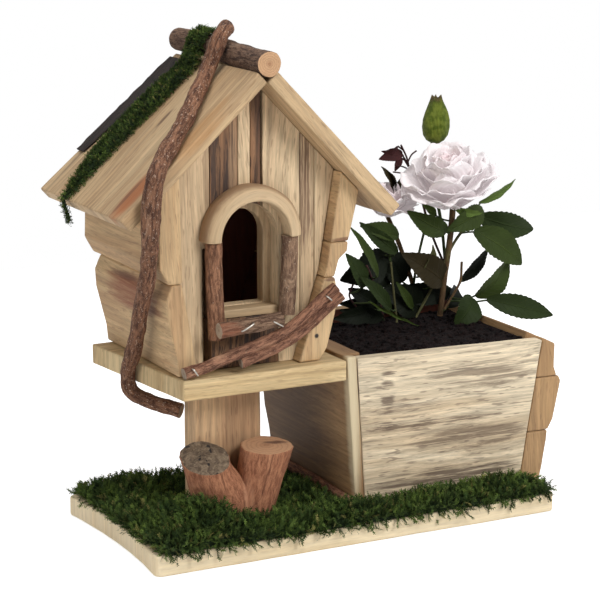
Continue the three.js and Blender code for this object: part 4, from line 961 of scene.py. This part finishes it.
# Strews sprigs: each spot has a point, the way that the sprig grows there, and a size
def strew(shape, spots, seed):
    dice = random.Random(seed)
    layer = layerOf(shape, "sprig")
    start = len(shape.verts)
    marks = []
    for at, out, size in spots:
        mesh = dice.choice(sprigs).copy()
        flat = Vector([dice.uniform(-1, 1) for axis in range(3)])
        ahead = (flat - out * flat.dot(out) + out * dice.uniform(0.1, 0.9)).normalized()
        side = out.cross(ahead).normalized()
        turn = Matrix((ahead, side, ahead.cross(side))).transposed().to_4x4()
        mesh.transform(Matrix.Translation(at) @ turn @ Matrix.Scale(size, 4))
        shape.from_mesh(mesh)
        marks.extend([dice.random()] * len(mesh.vertices))
        bpy.data.meshes.remove(mesh)
    shape.verts.ensure_lookup_table()
    for i, shade in enumerate(marks):
        vert = shape.verts[start + i]
        vert[layer] = Vector((vert[layer].x, shade, 0))


# Pieces that the moss thins out beside
firm = "post stump knotty_limb planter_left_wall planter_front planter_side_twig climbing_branch"
keepOut = bmesh.new()
for name in firm.split():
    keepOut.from_mesh(nodes[name].data)
keepOutTree = BVHTree.FromBMesh(keepOut)
keepOut.free()

# Moss beds: sprigs on a square centimetre, depth of the bed under its node, sizes, and how far the rim hangs
beds = {
    "lawn_front": (66, 2.4, (0.45, 1.15), 2.2),
    "lawn_left": (60, 2.4, (0.5, 1.25), 0.6),
    "lawn_middle": (56, 2, (0.45, 1.1), 0),
    "lawn_right": (30, 2, (0.6, 1.1), 0),
    "lawn_back": (30, 2, (0.6, 1.1), 0.3),
    "roof_moss": (105, 2, (0.22, 0.5), 0.6),
}
narrowing = 3.5


# A moss bed: the node's own lump, sunk a little, with sprigs growing out of its faces
def addBed(name, perCm, sink, sizes, hang, seed):
    dice = random.Random(seed)
    shape = copyOf(name)
    bmesh.ops.triangulate(shape, faces=shape.faces)
    onRoof = name == "roof_moss"
    spots = []
    for face in [f for f in shape.faces if f.normal.z > -0.35 or onRoof]:
        a, b, c = (v.co.copy() for v in face.verts)
        share = face.calc_area() * 10000 * perCm
        for i in range(int(share) + (dice.random() < share % 1)):
            u, v = sorted((dice.random(), dice.random()))
            at = a * u + b * (v - u) + c * (1 - v)
            out = face.normal.copy()
            near = keepOutTree.find_nearest(at)[3]
            if near < 1.6 * mm and dice.random() < 0.7:
                continue
            if onRoof and abs(out.y) > 0.75 and dice.random() < 0.85:
                continue
            if out.z < 0.6 and not onRoof:
                out = (out + Vector((dice.uniform(-0.5, 0.5), 0, dice.uniform(-hang, 0.7)))).normalized()
                if out.z < -0.3 and dice.random() < 0.35:
                    continue
            loose = Vector((dice.uniform(-0.5, 0.5), dice.uniform(-0.5, 0.5), dice.uniform(0, 0.5)))
            at.y -= narrowing * mm * face.normal.y if onRoof else 0
            size = dice.uniform(*sizes) * (0.75 if near < 4 * mm else 1)
            spots.append((at - face.normal * (sink + 0.4) * mm, (out + loose).normalized(), size))
    bmesh.ops.subdivide_edges(shape, edges=shape.edges, cuts=1)
    layer = layerOf(shape, "sprig")
    shape.normal_update()
    narrow = Vector((0, narrowing if onRoof else 0, 0)) * mm
    for vert in shape.verts:
        down = sink * mm + noise.noise(vert.co * 120) * 0.7 * mm
        vert.co -= vert.normal * down + narrow * vert.normal.y
        # The bed under the sprigs takes the dark root colour: painted shade under the sprigs, with the lower
        # stems' own darker colour
        vert[layer] = Vector((0.05, 0.2, 0))
    strew(shape, spots, seed)
    return addPiece(shape, name + "_sprigs", [mossMaterial], [name])


for count, (name, how) in enumerate(beds.items()):
    addBed(name, *how, 11 + count)
print("moss is strewn")

# Leaf colours: face, deep, vein and under side
leafColours = {
    "dark": ((30, 44, 14), (18, 29, 9), (50, 64, 26), (46, 58, 28)),
    "mid": ((42, 58, 18), (26, 39, 12), (66, 80, 32), (58, 70, 32)),
    "young": ((88, 114, 44), (62, 86, 32), (116, 134, 66), (94, 112, 58)),
    # shade: near-black blades of painted shade, standing for the shaded foliage behind the other leaves
    "shade": ((13, 18, 10), (7, 11, 6), (22, 28, 16), (20, 25, 15)),
    "red": ((62, 32, 34), (38, 19, 22), (90, 52, 48), (70, 40, 40)),
    "rust": ((38, 32, 14), (22, 20, 9), (56, 48, 26), (46, 38, 20)),
    "olive": ((74, 76, 36), (48, 52, 26), (98, 94, 54), (80, 78, 46)),
}


# Leaves: a toothed blade folded along its midrib; the blade attribute is (across, along, shade)
def leafMaterial(name, face, deep, vein, under):
    material, tree, surface = newMaterial("leaf_" + name, 0.6, 0.1)
    across, along, shade = parts(attribute(tree, "blade"))
    across = calc("ABSOLUTE", across)
    saw = calc("ABSOLUTE", calc("FRACT", (along - across * 0.2) * 9) - 0.5)
    veins = calc("MAXIMUM", between(across, 0.07, 0.02), between(saw, 0.09, 0.01) * 0.4)
    blotch = noiseOf(place(tree), 130)
    base = tint(between(blotch + shade * 0.3, 0.45, 0.85), deep, face)
    back = put("ShaderNodeNewGeometry", {}, "Backfacing", tree)
    color = tint(back * 0.6, tint(veins * 0.8, base, vein), under)
    finish(surface, color, blotch * 0.3 - veins, 0.0004)
    return material


leafOf = {}
for name, shades in leafColours.items():
    leafOf[name] = leafMaterial(name, *(paint(*shade) for shade in shades))
bladeForm = {"columns": 6, "rows": 26, "arch": 0.22, "fold": 0.3, "teeth": 0.035, "curl": 2.5}


def recolour(shape, before, index):
    for face in set(shape.faces) - before:
        face.material_index = index


def addBlade(shape, base, tip, width, roll, index, seed):
    layer = layerOf(shape, "blade")
    base, tip = spot(*base), spot(*tip)
    along = tip - base
    across = along.cross(Vector(alongY)).normalized()
    up = across.cross(along).normalized()
    if up.y > 0:
        up.negate()
    turn = Matrix.Rotation(math.radians(roll), 3, along)
    across, up = turn @ across, turn @ up
    before = set(shape.faces)
    columns, rows = bladeForm["columns"], bladeForm["rows"]
    grid = bmesh.ops.create_grid(shape, x_segments=columns, y_segments=rows, size=0.5)["verts"]
    half = width * mm / 2
    shade = random.Random(seed).random()
    for vert in grid:
        u, v = vert.co.x * 2, vert.co.y + 0.5
        wide = half * math.sin(math.pi * mix(0.03, 0.985, v) ** 0.85) ** 0.85
        tooth = 1 + bladeForm["teeth"] * (1 if round(v * rows) % 2 else -1) * (abs(u) > 0.95)
        fold = abs(u) * wide * bladeForm["fold"]
        lift = math.sin(v * math.pi) * width * mm * bladeForm["arch"] - v * v * bladeForm["curl"] * mm
        ripple = 0.25 * mm * math.sin(v * 19 + u * 3 + seed) * abs(u)
        vert.co = base + along * v + across * u * wide * tooth + up * (fold + lift + ripple)
        vert[layer] = Vector((u, v, shade))
    recolour(shape, before, index)


def addStalk(shape, points, radius, shift, index):
    before = set(shape.faces)
    twigShape(points, radius, sides=8, rough=0.06, shift=shift, shape=shape, capInset=0.2)
    recolour(shape, before, index)


# Canes: stems with radius, skin and route; leaves with kind, base, tip, width and roll
canes = {
    "rose_main_cane": {
        "stems": [
            (
                1.9, "stem", (243.7, 108.8, 99.6), (244.2, 104.6, 126), (243.8, 98.2, 150.7),
                (243.1, 94, 171.5),
            ),
            (
                1.0, "greenStem", (244, 103, 131), (246.5, 113, 156), (245, 120.5, 184.8),
                (244.3, 118.3, 208),
            ),
            (
                0.8, "redStem", (244, 103, 131), (240, 116, 153.5), (235.5, 122.5, 177.9),
                (230, 122.6, 190), (224.1, 122, 198.9),
            ),
            (2.9, "stem", (244.3, 118.3, 203), (244.3, 118.3, 205.5), (244.3, 118.3, 208.4)),
            (0.6, "redStem", (228, 122.3, 192.5), (225.1, 120, 199.1), (220.2, 119, 207.7)),
            (0.5, "redStem", (226.5, 121, 196.5), (228.1, 119.5, 201), (231.1, 118.5, 203.5)),
            (0.45, "redStem", (228.5, 121.5, 190.8), (222, 119, 194), (216, 119, 195.6)),
            (0.45, "redStem", (228.8, 121.8, 189.5), (221, 119, 190.2), (214.7, 119, 191.3)),
            (0.8, "stem", (245.5, 106.5, 104), (252, 105.5, 114), (256.5, 106, 121), (258, 107, 133)),
            (0.9, "olive", (226.9, 110, 100), (238, 106, 122), (247, 99, 147), (252, 97, 155)),
        ],
        "leaves": [
            ("dark", (266.2, 102, 162.2), (307.5, 100, 149.4), 17.4, 12),
            ("mid", (258.5, 94, 155.3), (291.9, 88, 131.7), 19.5, -10),
            ("mid", (263, 98, 111.8), (284.8, 92, 134.9), 17.5, 14),
            ("dark", (266.3, 90, 111.5), (310.3, 80, 98.5), 14.5, -8),
            ("dark", (256, 91, 113.5), (239.1, 82, 97.8), 18, 10),
            ("shade", (258.2, 108, 120.4), (279.3, 108, 138.9), 8.8, 0),
            ("young", (243.1, 92, 170.5), (259.8, 86, 165.9), 6.1, 30),
            ("mid", (266, 96, 167.5), (236.8, 88, 157.8), 14.5, 12),
            ("young", (268, 104, 170), (296.6, 104, 181.6), 6.4, 20),
            ("mid", (238.8, 94, 155.7), (208.3, 88, 171.2), 13.5, -18),
            ("red", (223.1, 122, 202), (207, 121, 200), 8, 20),
            ("young", (236.9, 104, 164.3), (227.2, 103, 173.8), 5.2, 0),
            ("shade", (250, 110, 104), (262, 118, 116), 12, 0),
            ("shade", (256, 114, 112.5), (205, 113, 117), 15, 0),
            ("red", (219.5, 121, 207), (208.5, 119.5, 203), 7, -35),
            ("red", (222, 122, 199.5), (217, 120, 192), 4.5, 30),
        ],
    },
    "rose_left_cane": {
        "stems": [
            (
                1.5, "stem", (227, 113.6, 99.6), (226, 112, 118), (220.2, 112, 135), (214.5, 113, 150.7),
                (208.5, 114.6, 165),
            ),
            (0.8, "greenStem", (225.8, 112, 118.4), (225.6, 107, 136), (227.5, 102, 156)),
        ],
        "leaves": [
            ("rust", (245.1, 106, 121.1), (213, 101, 143), 19, 6),
            ("olive", (226.4, 103, 127.6), (236.7, 103, 145.8), 9.9, 20),
            ("mid", (222, 106, 106.7), (209.9, 103, 125), 5.6, 0),
            ("shade", (231, 112, 103), (206, 112, 121.9), 20, 0),
            ("shade", (219.5, 115, 121.9), (206.5, 115, 144.9), 18.6, 0),
            ("rust", (214.5, 115.5, 176.3), (206.5, 115.5, 196.1), 7.8, 30),
            ("rust", (214.9, 113, 177.5), (217.4, 113, 188.5), 5.5, -30),
            ("rust", (213, 114, 178), (211.5, 114.5, 193.4), 6, 60),
        ],
    },
    "rose_side_cane": {
        "stems": [
            (
                1.0, "greenStem", (217.4, 115.2, 99.6), (212.8, 113, 116.6), (208.2, 109.9, 135.1),
                (205.4, 107.7, 152),
            ),
            (0.7, "olive", (209.8, 104, 99.8), (207.4, 104, 118), (206.3, 106, 137.8)),
            (0.7, "redStem", (205.1, 112, 99.8), (197.7, 107, 119), (187.6, 103, 138)),
            (0.6, "redStem", (191, 106, 99.8), (181, 103, 112), (174.5, 101, 121), (176, 99, 128)),
        ],
        "leaves": [
            ("mid", (191.6, 96, 131.7), (170, 88, 166), 7.3, 25),
            ("dark", (209.5, 104, 143.7), (181, 98, 165.2), 9.8, -10),
            ("dark", (182.9, 98, 125.5), (169.8, 94, 148.2), 11.6, 12),
            ("dark", (200.8, 96, 110.4), (177.7, 90, 134.4), 9.2, 15),
            ("young", (182.4, 91, 118.5), (208, 74, 102.4), 2.6, 40),
            ("shade", (202.7, 108, 102.6), (172, 106, 110.6), 9.9, 0),
            ("shade", (199.4, 112, 110.2), (181, 112, 122.1), 11, 0),
            ("shade", (209, 113, 122), (192, 114, 143), 17, 0),
            ("shade", (206.2, 112, 141.8), (174.3, 110, 128.3), 22, 0),
            ("shade", (227, 117, 109.4), (176.2, 115, 112.5), 13, 0),
            ("shade", (195.7, 108, 108.9), (165.5, 101, 107), 12, 0),
            ("mid", (210.7, 104, 154.1), (183, 100, 163.5), 11, 15),
        ],
    },
}
stemSkins = ["stem", "greenStem", "redStem", "olive"]
slots = [*(barkOf[key] for key in stemSkins), *leafOf.values()]
leafOrder = {key: len(stemSkins) + i for i, key in enumerate(leafOf)}
for count, (name, plan) in enumerate(canes.items()):
    shape = bmesh.new()
    for radius, bark, *points in plan["stems"]:
        addStalk(shape, points, radius, count * 0.3, stemSkins.index(bark))
    carriers = [p for radius, bark, *points in plan["stems"] for p in route(points, 2)]
    for number, (kind, base, tip, width, roll) in enumerate(plan["leaves"]):
        base, tip = Vector(base), Vector(tip)
        root = min(carriers, key=lambda p: (p - base).length + 3 * max(0, p.z - base.z + 2))
        gap = (base - root).length
        bent = root.lerp(base, 0.55) + Vector((0, 0, -0.06 * gap))
        if gap > 2:
            skin = "redStem" if kind == "red" else "greenStem"
            addStalk(shape, [root, bent, base.lerp(tip, 0.05)], 0.55, number * 0.1, stemSkins.index(skin))
        addBlade(shape, base, tip, width, roll, leafOrder[kind], number + count * 20)
    addPiece(shape, name + "_leaves", slots, [name], smooth=True)
print("leaves are made")


# Petals: the petal attribute is (across, along, depth), where depth is 0 outside and 1 at the heart
def makePetalMaterial():
    material, tree, surface = newMaterial("petal_silk", 0.6, 0.2)
    across, along, depth = parts(attribute(tree, "petal"))
    flush = depth * 0.75 + (1 - along) * 0.3
    base = tint(between(flush, 0.15, 1.1), paint(232, 226, 227), paint(222, 196, 198))
    threads = calc("SINE", across * 46 + along * 3)
    veined = tint(between(threads, 0.4, 1) * 0.07, base, paint(214, 176, 182))
    finish(surface, veined, threads, 0.00006)
    # A faint glow in the petals' own colour: painted light, standing in for the light that shines through
    # them
    fill(surface, {"Emission Strength": 0.1, "Emission Color": veined})
    return material


petalMaterial = makePetalMaterial()
petalForm = {"columns": 12, "rows": 12, "thick": 0.35, "steps": 20}


def addPetal(shape, turn, foot, angle, length, width, opens, cup, depth, seed):
    layer = layerOf(shape, "petal")
    dice = random.Random(seed)
    columns, rows, steps = petalForm["columns"], petalForm["rows"], petalForm["steps"]
    grid = bmesh.ops.create_grid(shape, x_segments=columns, y_segments=rows, size=0.5)["verts"]
    wave, notch = dice.uniform(0, 6), dice.uniform(0.02, 0.12)
    profile, r, z = [(0.0, 0.0)], 0.0, 0.0
    for i in range(steps):
        lean = math.radians(mix(*opens, ((i + 0.5) / steps) ** 1.2))
        r += math.sin(lean) / steps
        z += math.cos(lean) / steps
        profile.append((r, z))
    spin = Matrix.Rotation(angle, 4, "Z")
    for vert in grid:
        u, v = vert.co.x * 2, vert.co.y + 0.5
        reach = v * (1 - 0.2 * u * u * v) - notch * math.exp(-(u * 4) ** 2) * v ** 4
        k = min(steps - 1, int(reach * steps))
        r, z = (mix(profile[k][axis], profile[k + 1][axis], reach * steps - k) * length for axis in (0, 1))
        half = width / 2 * math.sin(math.pi * mix(0.1, 0.76, v)) ** 0.8
        ruffle = math.sin(u * 5 + wave) * 0.05 * length * v * v
        ruffle += math.sin(u * 9 + wave * 2) * 0.025 * length * v ** 3
        lean = math.radians(mix(*opens, v))
        x = r + foot - cup * half * u * u * math.cos(lean) - ruffle * math.cos(lean)
        up = z + cup * half * u * u * math.sin(lean) + ruffle * math.sin(lean)
        vert.co = turn @ (spin @ Vector((x * mm, u * half * mm, up * mm)))
        vert[layer] = Vector((u, v, depth))


# Rings of petals: count, length, width, opening at foot and tip in degrees, cup, depth
blooms = {
    "rose_bloom": {
        "at": (243.1, 94, 172), "tilt": (-16, -8), "scale": 1,
        "rings": [
            (5, 36, 42, 48, 72, 0.14, 0.0), (5, 37, 40, 38, 62, 0.2, 0.05), (5, 38, 37, 27, 50, 0.3, 0.12),
            (5, 39, 33, 16, 34, 0.4, 0.25), (5, 38, 26, 7, 21, 0.6, 0.5), (4, 35, 18, 0, 11, 0.8, 0.85),
            (3, 31, 10, 0, 4, 1.0, 1),
        ],
    },
    "rose_rear_bloom": {
        "at": (205.6, 114.6, 166), "tilt": (-10, 14), "scale": 0.68,
        "rings": [
            (6, 33, 35, 48, 76, 0.14, 0.05), (6, 33, 31, 30, 54, 0.3, 0.25), (5, 30, 23, 12, 30, 0.55, 0.6),
        ],
    },
}
for name, bloom in blooms.items():
    shape = bmesh.new()
    facing = Matrix.Rotation(math.radians(-cameraView["turn"]), 4, "Z")
    turn = Matrix.Translation(spot(*bloom["at"])) @ facing
    back, aside = (math.radians(tilt) for tilt in bloom["tilt"])
    turn = turn @ Matrix.Rotation(-back, 4, "X") @ Matrix.Rotation(aside, 4, "Y")
    scale, number = bloom["scale"], 0
    for ring, (count, length, width, start, end, cup, depth) in enumerate(bloom["rings"]):
        for i in range(count):
            dice = random.Random(number + len(name))
            angle = (i + ring * 0.5 + dice.uniform(-0.12, 0.12)) / count * 2 * math.pi
            opens = (start, end + dice.uniform(-9, 9))
            long = length * scale * dice.uniform(0.93, 1.05)
            addPetal(shape, turn, 1.2 * scale, angle, long, width * scale, opens, cup, depth, number)
            number += 1
    bmesh.ops.recalc_face_normals(shape, faces=shape.faces)
    piece = addPiece(shape, name + "_petals", [petalMaterial], [name], smooth=True)
    piece.modifiers.new("thickness", "SOLIDIFY").thickness = petalForm["thick"] * mm

# Bud: a spun body with creases; its outline runs from the foot to the tip in shares of radius and length
bud = {"foot": (244.3, 118.3, 207.6), "radius": 8.7, "length": 28.5, "creases": 5}
budShares = [
    (0, 0), (0.34, 0.0), (0.66, 0.06), (0.9, 0.17), (1, 0.34), (0.98, 0.5), (0.85, 0.66), (0.66, 0.79),
    (0.47, 0.9), (0.36, 0.98), (0.2, 0.95), (0, 0.9),
]


def makeBudMaterial():
    material, tree, surface = newMaterial("bud_skin", 0.6, 0.15)
    around, up = parts(attribute(tree, "blade"))[:2]
    lines = calc("SINE", around * 60)
    base = tint(between(noiseOf(place(tree), 260), 0.35, 0.65), paint(92, 110, 34), paint(138, 152, 60))
    lined = tint(between(lines, 0.3, 1) * 0.4, base, paint(58, 72, 32))
    finish(surface, tint(between(up, 0.86, 1.0), lined, paint(120, 100, 70)), lines, 0.0003)
    return material


def addBud():
    shape = bmesh.new()
    layer = layerOf(shape, "blade")
    verts = [shape.verts.new(Vector((r * bud["radius"], 0, z * bud["length"])) * mm) for r, z in budShares]
    edges = [shape.edges.new(pair) for pair in zip(verts, verts[1:])]
    how = {"cent": (0, 0, 0), "axis": alongZ, "angle": 2 * math.pi, "steps": 40, "use_merge": True}
    bmesh.ops.spin(shape, geom=[*verts, *edges], **how)
    bmesh.ops.remove_doubles(shape, verts=shape.verts, dist=0.01 * mm)
    foot = spot(*bud["foot"])
    for vert in shape.verts:
        around, up = math.atan2(vert.co.y, vert.co.x), vert.co.z / (bud["length"] * mm)
        dent = 0.1 * abs(math.sin(bud["creases"] / 2 * around + up * 2.2)) ** 6
        crease = 1 - dent * math.sin(math.pi * min(1, up + 0.1))
        vert[layer] = Vector((around, up, 0))
        vert.co.z += 2.2 * mm * max(0, math.cos(around * 5)) ** 3 * max(0, up - 0.75) * 4
        vert.co = Vector((vert.co.x * crease + 0.8 * mm * up, vert.co.y * crease, vert.co.z)) + foot
    bmesh.ops.recalc_face_normals(shape, faces=shape.faces)
    return addPiece(shape, "rose_bud_skin", [makeBudMaterial()], ["rose_bud"], smooth=True)


addBud()
print("flowers are made")

# Stage: a pale floor, soft lamps and a white surround
stage = {"glow": 0.62, "surround": 0.22, "half": 0.75, "drop": 0.0002}


def seenDirectly(tree):
    rays = ("Is Camera Ray", "Is Glossy Ray", "Is Transmission Ray")
    camera, glossy, through = (put("ShaderNodeLightPath", {}, ray, tree) for ray in rays)
    return calc("MAXIMUM", camera, calc("MAXIMUM", glossy, through))


def addFloor():
    shape = bmesh.new()
    bmesh.ops.create_grid(shape, x_segments=1, y_segments=1, size=stage["half"])
    floor = addObject("floor", meshOf(shape, "floor"))
    floor.location.z = -stage["drop"]
    material, tree, surface = newMaterial("floor_paper", 0.9, 0)
    fill(surface, {"Base Color": (0.9, 0.9, 0.9, 1)})
    strength = seenDirectly(tree) * stage["glow"]
    glow = put("ShaderNodeEmission", {"Color": (1, 1, 1, 1), "Strength": strength})
    total = put("ShaderNodeAddShader", {0: Field(tree, surface.outputs[0]), 1: glow})
    fill(tree.nodes["Material Output"], {"Surface": total})
    floor.data.materials.append(material)


def makeSurround():
    world = bpy.data.worlds.new("surround")
    bpy.context.scene.world = world
    world.use_nodes = True
    strength = seenDirectly(world.node_tree) * (1 - stage["surround"]) + stage["surround"]
    fill(world.node_tree.nodes["Background"], {"Strength": strength, "Color": (1, 1, 1, 1)})


addFloor()
makeSurround()
lamps = {
    "key": {"place": (500, -1100, 1000), "size": 0.7, "power": 15.5},
    "fill": {"place": (-1200, -500, 500), "size": 1.0, "power": 4.5},
    "top": {"place": (-100, 100, 1500), "size": 0.9, "power": 9.5},
}
for name, lamp in lamps.items():
    light = bpy.data.lights.new(name, "AREA")
    light.shape, light.size, light.energy = "DISK", lamp["size"], lamp["power"]
    holder = addObject(name, light)
    holder.location = spot(*lamp["place"])
    holder.rotation_euler = (spot(130, 65, 120) - holder.location).to_track_quat("-Z", "Y").to_euler()
print("stage is set")
